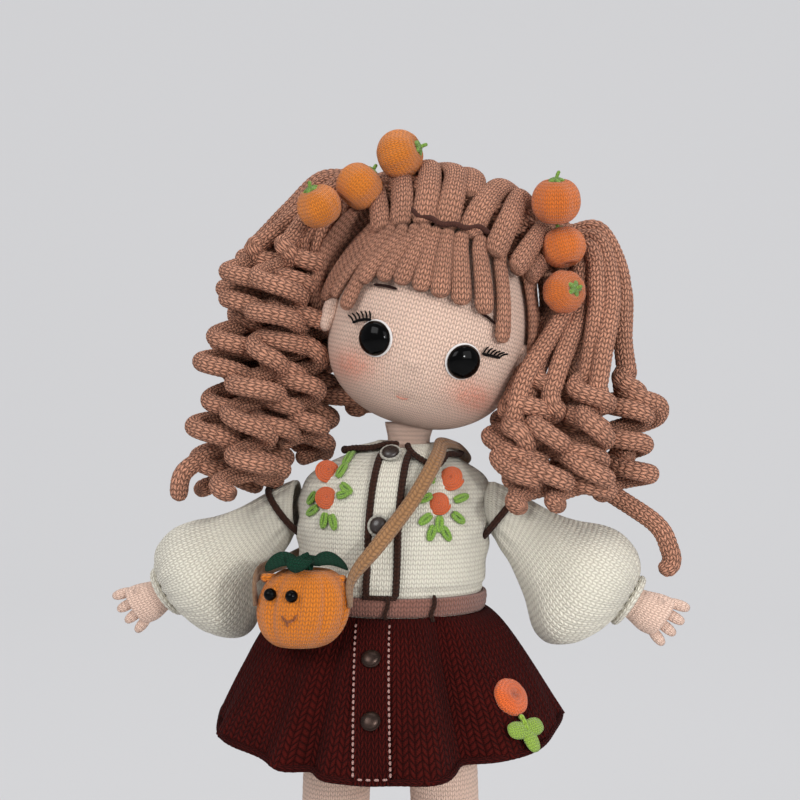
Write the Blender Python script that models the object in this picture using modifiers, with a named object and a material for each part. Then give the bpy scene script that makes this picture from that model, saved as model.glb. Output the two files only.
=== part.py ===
# Crocheted doll with two side ponytails, a blouse, a flared skirt and a small fruit-shaped bag.
# Metres, +Z up. The doll faces -Y, stands on the plane Z = 0 and its left hand is at +X.
import math

import bmesh
import bpy
import numpy as np
from mathutils import Matrix, Vector

# Clearances and walls
GAP = 0.0003
CLOTH_WALL = 0.0018
CLOTH_EASE = 0.0005
TRIM_WALL = 0.0010
SIDES = 24

# Torso and neck
TORSO_BOTTOM = 0.140
TORSO_HEIGHT = 0.0927
TORSO_HALF_WIDTH = 0.0350
TORSO_HALF_DEPTH = 0.0255
NECK_OFFSET = 0.004
# height share, half width share, half depth share, share of the neck's sideways offset
TORSO_SHARES = (
    (0.000, 0.86, 0.94, 0.0), (0.130, 0.90, 0.97, 0.0), (0.280, 0.91, 0.94, 0.0),
    (0.430, 0.96, 0.99, 0.2), (0.570, 1.00, 1.00, 0.3), (0.680, 0.985, 0.88, 0.4),
    (0.765, 0.92, 0.76, 0.6), (0.840, 0.60, 0.52, 0.9), (0.900, 0.21, 0.28, 1.0),
    (1.000, 0.18, 0.25, 1.0),
)
CUT_OVERRUN = 0.002
DOWEL_RADIUS = 0.003
DOWEL_LENGTH = 0.060
DOWEL_IN_TORSO = 0.032

# Legs and shoes
LEG_TOP_RADIUS = 0.0135
LEG_TOP_SPREAD = 0.0165
LEG_FOOT_SPREAD = 0.0225
# height share, radius share, share of the way from the top spread to the foot spread
LEG_SHARES = (
    (0.00, 0.70, 1.00), (0.06, 0.80, 1.00), (0.16, 0.80, 1.00), (0.34, 0.86, 0.90),
    (0.52, 0.93, 0.78), (0.70, 0.96, 0.62), (0.86, 1.00, 0.30), (1.00, 1.00, 0.00),
)
SHOE_LENGTH = 0.052
SHOE_WIDTH = 0.029
SHOE_HEIGHT = 0.026
SOLE_WALL = 0.003
SOLE_RIM = 0.0008
SHOE_FORWARD = 0.009
FOOT_DEPTH = 0.012
# height share, length share, width share, share of the forward shift
SHOE_SHARES = (
    (0.00, 1.00, 0.97, 1.00), (0.18, 1.00, 1.00, 1.00), (0.42, 0.95, 0.98, 0.94),
    (0.66, 0.80, 0.93, 0.66), (0.86, 0.62, 0.90, 0.22), (1.00, 0.55, 0.90, 0.05),
)

# Blouse, collar and belt
BLOUSE_HEM = 0.158
BLOUSE_TOP_SHARE = 0.88
PLACKET_WIDTH = 0.0105
PLACKET_COLUMNS = 2
BLOUSE_BUTTON_RADIUS = 0.0032
BUTTON_HEIGHT = 0.0022
BLOUSE_BUTTON_SHARES = (0.845, 0.595)
BLOUSE_BUTTON_SHIFT = -0.0014
COLLAR_DROP_SHARES = (0.735, 0.87)
COLLAR_FRONT_DEG = 30.0
COLLAR_BACK_DEG = 7.5
COLLAR_STEP_DEG = 7.5
BELT_HEIGHT = 0.0072
BELT_WALL = 0.0022
BELT_BOTTOM = 0.163

# Skirt
SKIRT_HEM_HEIGHT = 0.116
SKIRT_HEM_RADIUS = 0.0665
SKIRT_FOLDS = 9
SKIRT_FOLD_DEPTH = 0.0032
SKIRT_PLEAT_DEPTH = 0.0055
SKIRT_PLEAT_DEG = 33.0
SKIRT_PLEAT_SPREAD_DEG = 9.0
SKIRT_FLAT_DEG = 16.0
SKIRT_LEVELS = 5
SKIRT_SIDES = 54
SKIRT_FLARE_POWER = 0.80
SKIRT_PLACKET_WIDTH = 0.012
SKIRT_BUTTON_RADIUS = 0.0032
SKIRT_BUTTON_SHARES = (0.24, 0.62)
FLOWER_RADIUS = 0.0068
FLOWER_HEIGHT = 0.0030
FLOWER_DEG = 52.0
FLOWER_SHARE = 0.58
LEAF_LENGTH = 0.0046
LEAF_WIDTH = 0.0034
LEAF_WALL = 0.0012
SKIRT_LEAF_DROP_SHARE = 1.80
SKIRT_LEAF_TURNS_DEG = (-95.0, 5.0, 95.0)

# Arms and sleeves
SHOULDER_HEIGHT = 0.1995
SHOULDER_SPREADS = {-1: 0.0376, 1: 0.0398}
ARM_DROP_DEG = 33.6
ARM_LENGTH = 0.0815
ARM_RADIUS = 0.0068
# length share, radius share across, radius share in depth, rise in arm radii
ARM_SHARES = (
    (0.02, 0.86, 0.86, 0.0), (0.20, 1.00, 1.00, 0.0), (0.50, 0.96, 0.96, 0.0), (0.70, 0.90, 0.90, 0.0),
    (0.76, 0.92, 0.88, 0.05), (0.84, 1.30, 0.86, 0.20), (0.92, 1.32, 0.84, 0.35), (0.97, 1.05, 0.70, 0.45),
    (1.00, 0.50, 0.36, 0.50),
)
THUMB_LENGTH = 0.0095
THUMB_RADIUS = 0.0026
THUMB_SHARE = 0.78
THUMB_TURN_DEG = 48.0
SLEEVE_WALL = 0.0014
SLEEVE_LENGTH = 0.0600
SLEEVE_RADIUS = 0.0238
SLEEVE_SAG = 0.0052
SLEEVE_SIDES = 20
SLEEVE_FOLDS = 5
SLEEVE_FOLD_SHARE = 0.035
# length share, radius share, sag share, how far the ring has turned from upright to square
SLEEVE_SHARES = (
    (0.000, 0.435, 0.00, 0.0), (0.120, 0.455, 0.10, 0.5), (0.280, 0.520, 0.25, 1.0),
    (0.450, 0.700, 0.60, 1.0), (0.600, 0.930, 0.95, 1.0), (0.730, 1.000, 1.00, 1.0),
    (0.850, 0.860, 0.70, 1.0), (0.930, 0.600, 0.30, 1.0), (0.970, 0.365, 0.05, 1.0),
    (1.000, 0.346, 0.00, 1.0),
)

# Bag and strap
BAG_CENTRE = (-0.0252, -0.0405, 0.1685)
BAG_HALF = (0.0165, 0.0105, 0.0145)
BAG_RIBS = 10
BAG_RIB_SHARE = 0.045
BAG_SIDES = 40
BAG_RINGS = 8
BAG_HINGE_SHARE = 0.70
BAG_KNOT_RADIUS = 0.0016
BAG_KNOT_SHARE = 0.93
BAG_EYE_RADIUS = 0.0022
BAG_EYE_SPREAD_SHARE = 0.40
BAG_EYE_SHIFT_SHARE = -0.48
BAG_EYE_RISE_SHARE = 0.28
BAG_LEAF_HALF = (0.0072, 0.0046, 0.0014)
BAG_LEAF_TURN_DEG = 24.0
BAG_STEM_RADIUS = 0.0013
BAG_STEM_LENGTH = 0.0048
STRAP_WIDTH = 0.0054
STRAP_WALL = 0.0014
STRAP_STEPS = 2
STRAP_BOW = (0.002, -0.003, 0.002)
# angle round the body in degrees from the front towards +X, height share of the torso
STRAP_FRONT_ROUTE = (
    (38.0, 0.852), (26.0, 0.80), (16.0, 0.755), (12.0, 0.68), (8.5, 0.60), (-1.0, 0.51), (-12.0, 0.43),
)
STRAP_BACK_ROUTE = (
    (60.0, 0.838), (105.0, 0.83), (140.0, 0.79), (170.0, 0.69), (200.0, 0.58), (230.0, 0.475),
    (255.0, 0.44), (280.0, 0.44),
)

# Head, eyes and ears, in the head's own tilted frame
NECK_HEIGHT = 0.2330
HEAD_CENTRE = (0.0158, 0.0, 0.2723)
HEAD_TILT_DEG = 15.0
HEAD_YAW_DEG = 4.5
HEAD_RADIUS = 0.0380
HEAD_WIDEST = -0.008
HEAD_ABOVE = 0.050
HEAD_BELOW = 0.034
HEAD_CHEEK_POWER = 0.85
HEAD_RINGS = 14
EYE_RADIUS = 0.0062
EYE_HEIGHT = 0.0038
EYE_DEG = 25.0
EYE_POLAR_DEG = 100.5
EYE_STEM_RADIUS = 0.0015
EYE_STEM_LENGTH = 0.0080
FELT_RADIUS = 0.0069
FELT_WALL = 0.0008
SEAT_DEPTH = 0.0008
WASHER_RADIUS = 0.0045
WASHER_WALL = 0.0014
WASHER_DEPTH = 0.0052
EAR_HALF = (0.0034, 0.0042, 0.0072)
EAR_POLAR_DEG = 91.0
EAR_DEG = 74.0

# Hair
HAIR_EASE = 0.0011
HAIR_WALL = 0.0035
CAP_RINGS = 8
# angle from the front in degrees, polar angle of the cap's lower edge in degrees
CAP_EDGE_DEG = ((0, 33), (40, 40), (72, 56), (98, 68), (125, 104), (150, 126), (180, 134))
FRINGE_DEG = (-74.0, 46.0)
FRINGE_STRANDS = 9
FRINGE_THIN = 0.0018
FRINGE_RIDGE = 0.0020
FRINGE_SCALLOP_DEG = 3.0
FRINGE_ROWS = 5
# angle in degrees, polar angle of the fringe's lower edge in degrees
FRINGE_EDGE_DEG = ((-76, 84), (-55, 79), (-38, 75), (-11, 71.5), (7, 70), (26, 71), (47, 79))
STRAND_RADIUS = 0.0036
CROWN_PART = 0.0006
CROWN_END_RADIUS = 0.0094
CROWN_BAND = 0.0045
CROWN_END = (0.0370, 0.006, 0.0375)
CROWN_WAY = (0.86, 0.30, 0.18)
# distance out from the parting, centre's depth and height, half depth and half height, as shares
# of the crown's reach, its depth and its height
CROWN_REACH = 0.0370
CROWN_HALF_DEPTH = 0.0270
CROWN_HALF_HEIGHT = 0.0160
CROWN_SHARES = (
    (0.00, 0.15, 2.24, 1.00, 1.00), (0.22, 0.15, 2.34, 0.98, 0.97), (0.44, 0.16, 2.42, 0.86, 0.90),
    (0.66, 0.18, 2.44, 0.66, 0.80), (0.84, 0.20, 2.40, 0.48, 0.69),
)
CROWN_RIBS = 14
CROWN_RIB_SHARE = 0.055
CROWN_SIDES = 42
TIE_WALL = 0.0016
TIE_WIDTH = 0.0040
# side, centre in the head's frame, radius: small crocheted fruits from the top down
FRUITS = (
    (-1, (-0.0263, -0.0130, 0.0543), 0.0091), (-1, (-0.0377, -0.0140, 0.0390), 0.0088),
    (-1, (-0.0492, -0.0203, 0.0273), 0.0083), (1, (0.0333, -0.0205, 0.0506), 0.0091),
    (1, (0.0406, -0.0132, 0.0364), 0.0082), (1, (0.0449, -0.0150, 0.0205), 0.0080),
)
# Strands: side, place on the tie in degrees, route, curl's top and bottom, turns, first turn's angle, tail
CURL_RADIUS = 0.0063
CURL_POINTS = 8
STRAIGHT_STEP = 2.2
START_RING = 0.0066
STRANDS = (
    (-1, 8, ((-0.0300, 0.0060, 0.3230), (-0.0440, 0.0000, 0.3060)), (-0.0525, -0.0050, 0.2880),
     (-0.0680, -0.0030, 0.2060), 7.5, 0, ()),
    (-1, 80, ((-0.0260, -0.0010, 0.3170), (-0.0325, -0.0070, 0.3010)), (-0.0360, -0.0140, 0.2860),
     (-0.0440, -0.0140, 0.2110), 7, 120, ()),
    (-1, 302, ((-0.0290, 0.0158, 0.3190), (-0.0400, 0.0185, 0.3040)), (-0.0490, 0.0190, 0.2860),
     (-0.0580, 0.0200, 0.2070), 7, 200, ()),
    (-1, 218, ((-0.0245, 0.0146, 0.3052), (-0.0285, 0.0240, 0.2920)), (-0.0315, 0.0280, 0.2800),
     (-0.0380, 0.0250, 0.2180), 5, 40, ()),
    (1, 8, ((0.0790, 0.0080, 0.3050), (0.0865, 0.0030, 0.2880), (0.0870, 0.0010, 0.2680)),
     (0.0885, 0.0000, 0.2500), (0.0890, -0.0010, 0.2080), 4, 180,
     ((0.0985, -0.0060, 0.1960), (0.1030, -0.0070, 0.1870))),
    (1, 80, ((0.0765, 0.0005, 0.2960), (0.0775, -0.0070, 0.2760)), (0.0740, -0.0150, 0.2500),
     (0.0720, -0.0170, 0.2060), 4, 60, ()),
    (1, 152, ((0.0700, 0.0090, 0.2830), (0.0640, 0.0040, 0.2690)), (0.0545, -0.0170, 0.2500),
     (0.0510, -0.0180, 0.2115), 4, 240, ()),
    (1, 296, ((0.0765, 0.0205, 0.2960), (0.0745, 0.0175, 0.2740)), (0.0680, 0.0100, 0.2540),
     (0.0655, 0.0075, 0.2080), 4, 300, ()),
    (1, 224, ((0.0670, 0.0190, 0.2830), (0.0610, 0.0260, 0.2660)), (0.0510, 0.0280, 0.2500),
     (0.0460, 0.0260, 0.2160), 3, 30, ()),
)


def clear_scene():
    """Empty the file: objects first, then the data that they leave."""
    for obj in list(bpy.data.objects):
        bpy.data.objects.remove(obj, do_unlink=True)
    for group in list(bpy.data.collections):
        bpy.data.collections.remove(group)


def make_collection(name):
    """A collection under the scene's own."""
    group = bpy.data.collections.new(name)
    bpy.context.scene.collection.children.link(group)
    return group


def make_material(name, colour, roughness, metallic=0.0):
    """One Principled material."""
    made = bpy.data.materials.new(name)
    made.use_nodes = True
    shader = made.node_tree.nodes["Principled BSDF"]
    shader.inputs["Base Color"].default_value = (*colour, 1.0)
    shader.inputs["Roughness"].default_value = roughness
    shader.inputs["Metallic"].default_value = metallic
    return made


def add_object(name, data, finish, parent=None):
    """Put data in the doll's collection under a parent, with its own copy of a finish."""
    obj = bpy.data.objects.new(name, data)
    DOLL.objects.link(obj)
    own = FINISHES[finish].copy()
    own.name = name + "_" + finish
    data.materials.clear()
    data.materials.append(own)
    obj.parent = parent
    return obj


def add_pivot(name, place, parent=None):
    """An empty that holds a joint's centre or a tilted frame."""
    pivot = bpy.data.objects.new(name, None)
    DOLL.objects.link(pivot)
    pivot.location = place
    pivot.parent = parent
    return pivot


def make_cutter(obj):
    """Hide a tool that cuts or joins, and keep it out of the doll's own collection."""
    for group in list(obj.users_collection):
        group.objects.unlink(obj)
    CUTTERS.objects.link(obj)
    obj.hide_render = True
    obj.display_type = "WIRE"
    return obj


def combine(target, tool, operation):
    """A Boolean modifier with the exact solver."""
    step = target.modifiers.new(operation.lower(), "BOOLEAN")
    step.object = tool
    step.operation = operation
    step.solver = "EXACT"
    return target


def mesh_from_grid(name, grid, wrap, caps=False, inside=None):
    """Faces over a grid of points, closed along the second index if wrapped, turned away from inside."""
    rows, columns = grid.shape[0], grid.shape[1]
    last = columns if wrap else columns - 1
    faces = []
    for i in range(rows - 1):
        for j in range(last):
            k = (j + 1) % columns
            faces.append((i * columns + j, i * columns + k, (i + 1) * columns + k, (i + 1) * columns + j))
    if caps:
        faces.append(tuple(reversed(range(columns))))
        faces.append(tuple(range((rows - 1) * columns, rows * columns)))
    mesh = bpy.data.meshes.new(name)
    mesh.from_pydata([tuple(p) for p in grid.reshape(-1, 3)], [], faces)
    tidy = bmesh.new()
    tidy.from_mesh(mesh)
    bmesh.ops.remove_doubles(tidy, verts=tidy.verts, dist=GAP / 10)
    bmesh.ops.recalc_face_normals(tidy, faces=tidy.faces)
    centre = Vector(inside) if inside is not None else Vector(grid.reshape(-1, 3).mean(axis=0))
    facing_out = sum(f.normal.dot(f.calc_center_median() - centre) * f.calc_area() for f in tidy.faces)
    if facing_out < 0:
        bmesh.ops.reverse_faces(tidy, faces=tidy.faces)
    tidy.to_mesh(mesh)
    tidy.free()
    mesh.shade_smooth()
    return mesh


def loft(name, rings, finish, parent=None):
    """A closed solid through rings of points, capped at both ends."""
    mesh = mesh_from_grid(name, np.asarray(rings, float), wrap=True, caps=True)
    return add_object(name, mesh, finish, parent)


def sheet(name, grid, wall, finish, parent=None, wrap=False, inside=None):
    """An open surface thickened outwards by Solidify, away from a point inside it."""
    mesh = mesh_from_grid(name, np.asarray(grid, float), wrap, inside=inside)
    obj = add_object(name, mesh, finish, parent)
    step = obj.modifiers.new("wall", "SOLIDIFY")
    step.thickness = wall
    step.offset = 1.0
    return obj


def solid_between(name, inner, outer, finish, parent=None, wrap=False):
    """A closed solid between two grids of points, joined round their rims."""
    inner, outer = np.asarray(inner, float), np.asarray(outer, float)
    if wrap:
        loop = np.concatenate((outer, inner[::-1], outer[:1]))
        mesh = mesh_from_grid(name, loop, wrap=True)
    else:
        rows, columns = outer.shape[0], outer.shape[1]
        section = np.concatenate((outer, inner[:, ::-1]), axis=1)
        mesh = mesh_from_grid(name, section, wrap=True, caps=True)
    return add_object(name, mesh, finish, parent)


def lathe(name, profile, steps, finish, parent=None, closed=False):
    """Turn a profile of (radius, height) about Z. It runs from the top down its outer side."""
    mesh = bpy.data.meshes.new(name)
    points = [(radius, 0.0, height) for radius, height in profile]
    count = len(points)
    edges = [(i, (i + 1) % count) for i in range(count if closed else count - 1)]
    mesh.from_pydata(points, edges, [])
    obj = add_object(name, mesh, finish, parent)
    turn = obj.modifiers.new("turn", "SCREW")
    turn.axis = "Z"
    turn.steps = steps
    turn.render_steps = steps
    turn.use_merge_vertices = True
    turn.merge_threshold = 0.00001
    turn.use_smooth_shade = True
    return obj


def ring_profile(inner, outer, low, high):
    """The closed outline of a washer, for lathe."""
    return ((inner, high), (outer, high), (outer, low), (inner, low))


def cylinder(name, radius, low, high, steps, finish, parent=None):
    """An upright cylinder between two heights."""
    return lathe(name, ((0.0, high), (radius, high), (radius, low), (0.0, low)), steps, finish, parent)


def ball(name, half, finish, parent=None, sides=12, rings=8):
    """A ball with three half sizes."""
    mesh = bpy.data.meshes.new(name)
    shape = bmesh.new()
    bmesh.ops.create_uvsphere(shape, u_segments=sides, v_segments=rings, radius=1.0)
    bmesh.ops.scale(shape, vec=half, verts=shape.verts)
    shape.to_mesh(mesh)
    shape.free()
    mesh.shade_smooth()
    return add_object(name, mesh, finish, parent)


def dome(name, radius, height, finish, parent=None, steps=16, base=0.0):
    """A button: a low dome with a flat back, its axis along Z."""
    turns = [math.radians(a) for a in (90, 65, 40, 18, 0)]
    profile = [(radius * math.cos(t), base + height * math.sin(t)) for t in turns]
    profile[0] = (0.0, base + height)
    return lathe(name, profile + [(0.0, base)], steps, finish, parent)


def tube(name, points, radius, finish, parent=None, resolution=1):
    """A round strand along points, closed at both ends."""
    data = bpy.data.curves.new(name, "CURVE")
    data.dimensions = "3D"
    data.bevel_depth = radius
    data.bevel_resolution = resolution
    data.use_fill_caps = True
    data.render_resolution_u = 0
    line = data.splines.new("POLY")
    line.points.add(len(points) - 1)
    for place, point in zip(line.points, points):
        place.co = (*point, 1.0)
    return add_object(name, data, finish, parent)


def smooth_path(points, count):
    """Points read at even steps from a smooth curve through the given ones (Catmull-Rom)."""
    knots = np.asarray(points, float)
    ends = np.vstack((2 * knots[0] - knots[1], knots, 2 * knots[-1] - knots[-2]))
    steps = np.linspace(0.0, len(knots) - 1.0, count)
    first = np.minimum(steps.astype(int), len(knots) - 2)
    t = (steps - first)[:, None]
    a, b, c, d = ends[first], ends[first + 1], ends[first + 2], ends[first + 3]
    bend = (2 * b) + (c - a) * t + (2 * a - 5 * b + 4 * c - d) * t**2 + (3 * b - a - 3 * c + d) * t**3
    return bend / 2


def facing(place, normal, twist=0.0):
    """A matrix at a place whose Z axis is the normal and whose Y axis points up the surface."""
    z_axis = Vector(normal).normalized()
    x_axis = Vector((0.0, 0.0, 1.0)).cross(z_axis).normalized()
    y_axis = z_axis.cross(x_axis)
    turned = Matrix((x_axis, y_axis, z_axis)).transposed().to_4x4()
    return Matrix.Translation(Vector(place)) @ turned @ Matrix.Rotation(twist, 4, "Z")


def table_value(share, table, column):
    """Read one column of a share table at a share of its first column."""
    rows = np.asarray(table, float)
    return np.interp(share, rows[:, 0], rows[:, column])


def body_surface(angle, share):
    """A point on the torso: angle from the front towards +X, at a height share."""
    half_width = TORSO_HALF_WIDTH * table_value(share, TORSO_SHARES, 1)
    half_depth = TORSO_HALF_DEPTH * table_value(share, TORSO_SHARES, 2)
    centre = NECK_OFFSET * table_value(share, TORSO_SHARES, 3)
    height = TORSO_BOTTOM + TORSO_HEIGHT * share
    return np.stack(np.broadcast_arrays(
        centre + half_width * np.sin(angle), -half_depth * np.cos(angle), height), axis=-1)


def body_normal(angle, share):
    """The torso's outward direction, from its own small differences."""
    step = 0.02
    across = body_surface(angle + step, share) - body_surface(angle - step, share)
    up = body_surface(angle, share + step) - body_surface(angle, share - step)
    normal = np.cross(across, up)
    return normal / np.linalg.norm(normal, axis=-1, keepdims=True)


def body_point(angle, share, offset):
    """A point at a distance outside the torso's surface."""
    return body_surface(angle, share) + body_normal(angle, share) * offset


def full_turn(sides):
    """Angles of one turn, without the repeated last one."""
    return np.arange(sides) * 2 * math.pi / sides


def body_grid(shares, offset, sides=SIDES):
    """Rings of body_point at several height shares."""
    return np.stack([body_point(full_turn(sides), share, offset) for share in shares])


def body_share(height):
    """The height share of a world height."""
    return (height - TORSO_BOTTOM) / TORSO_HEIGHT


def make_torso():
    """Stuffed torso with its neck, bored for the dowel that carries the head."""
    shares = [row[0] for row in TORSO_SHARES]
    torso = loft("torso", body_grid(shares, 0.0), "skin")
    top = TORSO_BOTTOM + TORSO_HEIGHT
    foot = top - DOWEL_IN_TORSO
    bore = cylinder("torso_bore", DOWEL_RADIUS + GAP, foot - GAP, top + CUT_OVERRUN, SIDES // 2, "skin")
    bore.location.x = NECK_OFFSET
    combine(torso, make_cutter(bore), "DIFFERENCE")
    dowel = cylinder("neck_dowel", DOWEL_RADIUS, foot, foot + DOWEL_LENGTH, SIDES // 2, "wood")
    dowel.location.x = NECK_OFFSET


def leg_rings(side, offset):
    """Rings of one leg, from the foot up to the flat under the torso."""
    top = TORSO_BOTTOM - GAP
    rings = []
    for share, radius_share, spread_share in reversed(LEG_SHARES):
        radius = LEG_TOP_RADIUS * radius_share + offset
        spread = LEG_TOP_SPREAD + (LEG_FOOT_SPREAD - LEG_TOP_SPREAD) * spread_share
        height = FOOT_DEPTH + (top - FOOT_DEPTH) * share
        turn = full_turn(SIDES // 2 + 4)
        rings.append(np.stack(np.broadcast_arrays(
            side * spread + radius * np.sin(turn), -radius * np.cos(turn), height), axis=-1))
    return np.array(rings)


def make_leg_and_shoe(side, word):
    """One stuffed leg, the shoe round its foot and the sole that the doll stands on."""
    loft("leg_" + word, leg_rings(side, 0.0), "skin")
    turn = full_turn(SIDES - 4)

    def outline(length_share, width_share, shift_share, height, rim=0.0):
        """An egg-shaped ring of the shoe."""
        width = SHOE_WIDTH / 2 * width_share + rim
        length = SHOE_LENGTH / 2 * length_share + rim
        return np.stack(np.broadcast_arrays(
            side * LEG_FOOT_SPREAD + width * np.sin(turn),
            -SHOE_FORWARD * shift_share - length * np.cos(turn), height), axis=-1)

    low = SOLE_WALL + GAP
    rings = [outline(a, b, c, low + (SHOE_HEIGHT - low) * share) for share, a, b, c in SHOE_SHARES]
    shoe = loft("shoe_" + word, rings, "maroon")
    socket_rings = leg_rings(side, GAP * 2)
    socket_rings[-1, :, 2] = FOOT_DEPTH - GAP
    socket = make_cutter(loft("socket_" + word, socket_rings, "skin"))
    combine(shoe, socket, "DIFFERENCE")
    sole = [outline(1.0, 1.0, 1.0, height, SOLE_RIM) for height in (0.0, SOLE_WALL)]
    loft("sole_" + word, sole, "cream")


def make_blouse():
    """Knitted blouse, tucked into the belt, with its placket, buttons and collar."""
    inner = CLOTH_EASE
    outer = inner + CLOTH_WALL
    low = body_share(BLOUSE_HEM)
    shares = [low] + [row[0] for row in TORSO_SHARES if low + 0.02 < row[0] < BLOUSE_TOP_SHARE]
    shares.append(BLOUSE_TOP_SHARE)
    sheet("blouse", body_grid(shares, inner), CLOTH_WALL, "cream", wrap=True)
    rest = outer + CLOTH_EASE
    start = body_share(BELT_BOTTOM + BELT_HEIGHT) + GAP / TORSO_HEIGHT
    levels = sorted({start, *[s for s in shares if start + 0.02 < s < COLLAR_DROP_SHARES[1]],
                     COLLAR_DROP_SHARES[1]})
    centre = [NECK_OFFSET * table_value(s, TORSO_SHARES, 3) for s in levels]
    grid = []
    for share, middle in zip(levels, centre):
        half = TORSO_HALF_WIDTH * table_value(share, TORSO_SHARES, 1) + rest
        reach = np.linspace(-PLACKET_WIDTH / 2, PLACKET_WIDTH / 2, PLACKET_COLUMNS + 1)
        grid.append(body_point(np.arcsin((reach) / half), share, rest))
    sheet("blouse_placket", grid, TRIM_WALL, "cream", inside=(0.0, 0.0, BELT_BOTTOM))
    for number, share in enumerate(BLOUSE_BUTTON_SHARES, start=1):
        offset = rest + TRIM_WALL + GAP * 2
        angle = BLOUSE_BUTTON_SHIFT / (TORSO_HALF_WIDTH * table_value(share, TORSO_SHARES, 1))
        button = dome("blouse_button_%d" % number, BLOUSE_BUTTON_RADIUS, BUTTON_HEIGHT, "black")
        button.matrix_basis = facing(body_point(angle, share, offset), body_normal(angle, share))
    for side, word in ((-1, "right"), (1, "left")):
        count = round((180 - COLLAR_BACK_DEG - COLLAR_FRONT_DEG) / COLLAR_STEP_DEG)
        turns = np.radians(COLLAR_FRONT_DEG + COLLAR_STEP_DEG * np.arange(count + 1)) * side
        low, high = COLLAR_DROP_SHARES
        levels = [low, *[s for s in shares if low + 0.01 < s < high - 0.01], high]
        flap = np.stack([body_point(turns, share, rest + GAP) for share in levels])
        sheet("collar_" + word, flap, TRIM_WALL, "cream", inside=(NECK_OFFSET, 0.0, BELT_BOTTOM))


def make_belt():
    """Crocheted waistband round the foot of the blouse."""
    offset = CLOTH_EASE + CLOTH_WALL + CLOTH_EASE
    shares = [body_share(BELT_BOTTOM), body_share(BELT_BOTTOM + BELT_HEIGHT)]
    sheet("belt", body_grid(shares, offset), BELT_WALL, "belt", wrap=True)


def skirt_point(angle, share, offset):
    """A point of the skirt: share 0 at the waist and 1 at the hem, with folds that deepen downwards."""
    waist_share = body_share(BELT_BOTTOM)
    ease = CLOTH_EASE + CLOTH_WALL + CLOTH_EASE
    half_width = TORSO_HALF_WIDTH * table_value(waist_share, TORSO_SHARES, 1) + ease
    half_depth = TORSO_HALF_DEPTH * table_value(waist_share, TORSO_SHARES, 2) + ease
    flare = share ** SKIRT_FLARE_POWER
    turn = (np.degrees(angle) + 180.0) % 360.0 - 180.0
    calm = 1.0 - np.exp(-(turn / SKIRT_FLAT_DEG) ** 2)
    wave = SKIRT_FOLD_DEPTH * share * np.cos(SKIRT_FOLDS * angle + math.pi) * calm
    pleat = -SKIRT_PLEAT_DEPTH * share ** 0.5 * (1 - 0.5 * share) * np.exp(
        -((turn - SKIRT_PLEAT_DEG) / SKIRT_PLEAT_SPREAD_DEG) ** 2)
    wide = half_width + (SKIRT_HEM_RADIUS - half_width) * flare + wave + pleat + offset
    deep = half_depth + (SKIRT_HEM_RADIUS - half_depth) * flare + wave + pleat + offset
    height = BELT_BOTTOM - GAP + (SKIRT_HEM_HEIGHT - BELT_BOTTOM) * share
    return np.stack(np.broadcast_arrays(wide * np.sin(angle), -deep * np.cos(angle), height), axis=-1)


def skirt_normal(angle, share, offset):
    """The outward direction of skirt_point."""
    step = 0.01
    across = skirt_point(angle + step, share, offset) - skirt_point(angle - step, share, offset)
    up = skirt_point(angle, share - step, offset) - skirt_point(angle, share + step, offset)
    normal = np.cross(across, up)
    return normal / np.linalg.norm(normal)


def make_skirt():
    """Flared skirt with soft folds, its button band, two buttons and a crocheted flower."""
    levels = np.linspace(0.0, 1.0, SKIRT_LEVELS + 1)
    turns = full_turn(SKIRT_SIDES)
    inner, outer = (np.stack([skirt_point(turns, share, offset) for share in levels])
                    for offset in (0.0, CLOTH_WALL))
    solid_between("skirt", inner, outer, "maroon", wrap=True)
    rest = CLOTH_WALL + CLOTH_EASE * 1.6
    band_levels = np.linspace(GAP / SKIRT_HEM_RADIUS, 1.0, SKIRT_LEVELS + 1)
    reach = np.linspace(-SKIRT_PLACKET_WIDTH / 2, SKIRT_PLACKET_WIDTH / 2, PLACKET_COLUMNS + 1)
    bands = [[], []]
    for share in band_levels:
        radius = skirt_point(math.pi / 2, share, rest)[0]
        for band, offset in zip(bands, (rest, rest + TRIM_WALL)):
            band.append(skirt_point(np.arcsin(reach / radius), share, offset))
    solid_between("skirt_placket", *bands, "maroon")
    for number, share in enumerate(SKIRT_BUTTON_SHARES, start=1):
        offset = rest + TRIM_WALL + GAP * 2
        button = dome("skirt_button_%d" % number, SKIRT_BUTTON_RADIUS, BUTTON_HEIGHT, "bronze")
        button.matrix_basis = facing(skirt_point(0.0, share, offset), skirt_normal(0.0, share, offset))
    angle = math.radians(FLOWER_DEG)
    place = skirt_point(angle, FLOWER_SHARE, rest)
    normal = skirt_normal(angle, FLOWER_SHARE, rest)
    flower = dome("skirt_flower", FLOWER_RADIUS, FLOWER_HEIGHT, "orange")
    flower.matrix_basis = facing(place, normal)
    stalk_half = (LEAF_WIDTH / 2, FLOWER_RADIUS * (SKIRT_LEAF_DROP_SHARE - 1) / 2, LEAF_WALL)
    stalk = ball("skirt_leaves", stalk_half, "lime", sides=8, rings=6)
    knot = facing(place, normal) @ Matrix.Translation((0.0, -FLOWER_RADIUS * SKIRT_LEAF_DROP_SHARE, LEAF_WALL))
    stalk.matrix_basis = knot @ Matrix.Translation((0.0, stalk_half[1] * 0.8, 0.0))
    for turn in SKIRT_LEAF_TURNS_DEG:
        leaf = ball("skirt_leaf", (LEAF_WIDTH, LEAF_LENGTH, LEAF_WALL), "lime", sides=10, rings=6)
        spin = Matrix.Rotation(math.radians(turn), 4, "Z")
        leaf.matrix_basis = knot @ spin @ Matrix.Translation((0.0, -LEAF_LENGTH * 0.8, 0.0))
        combine(stalk, make_cutter(leaf), "UNION")


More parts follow.
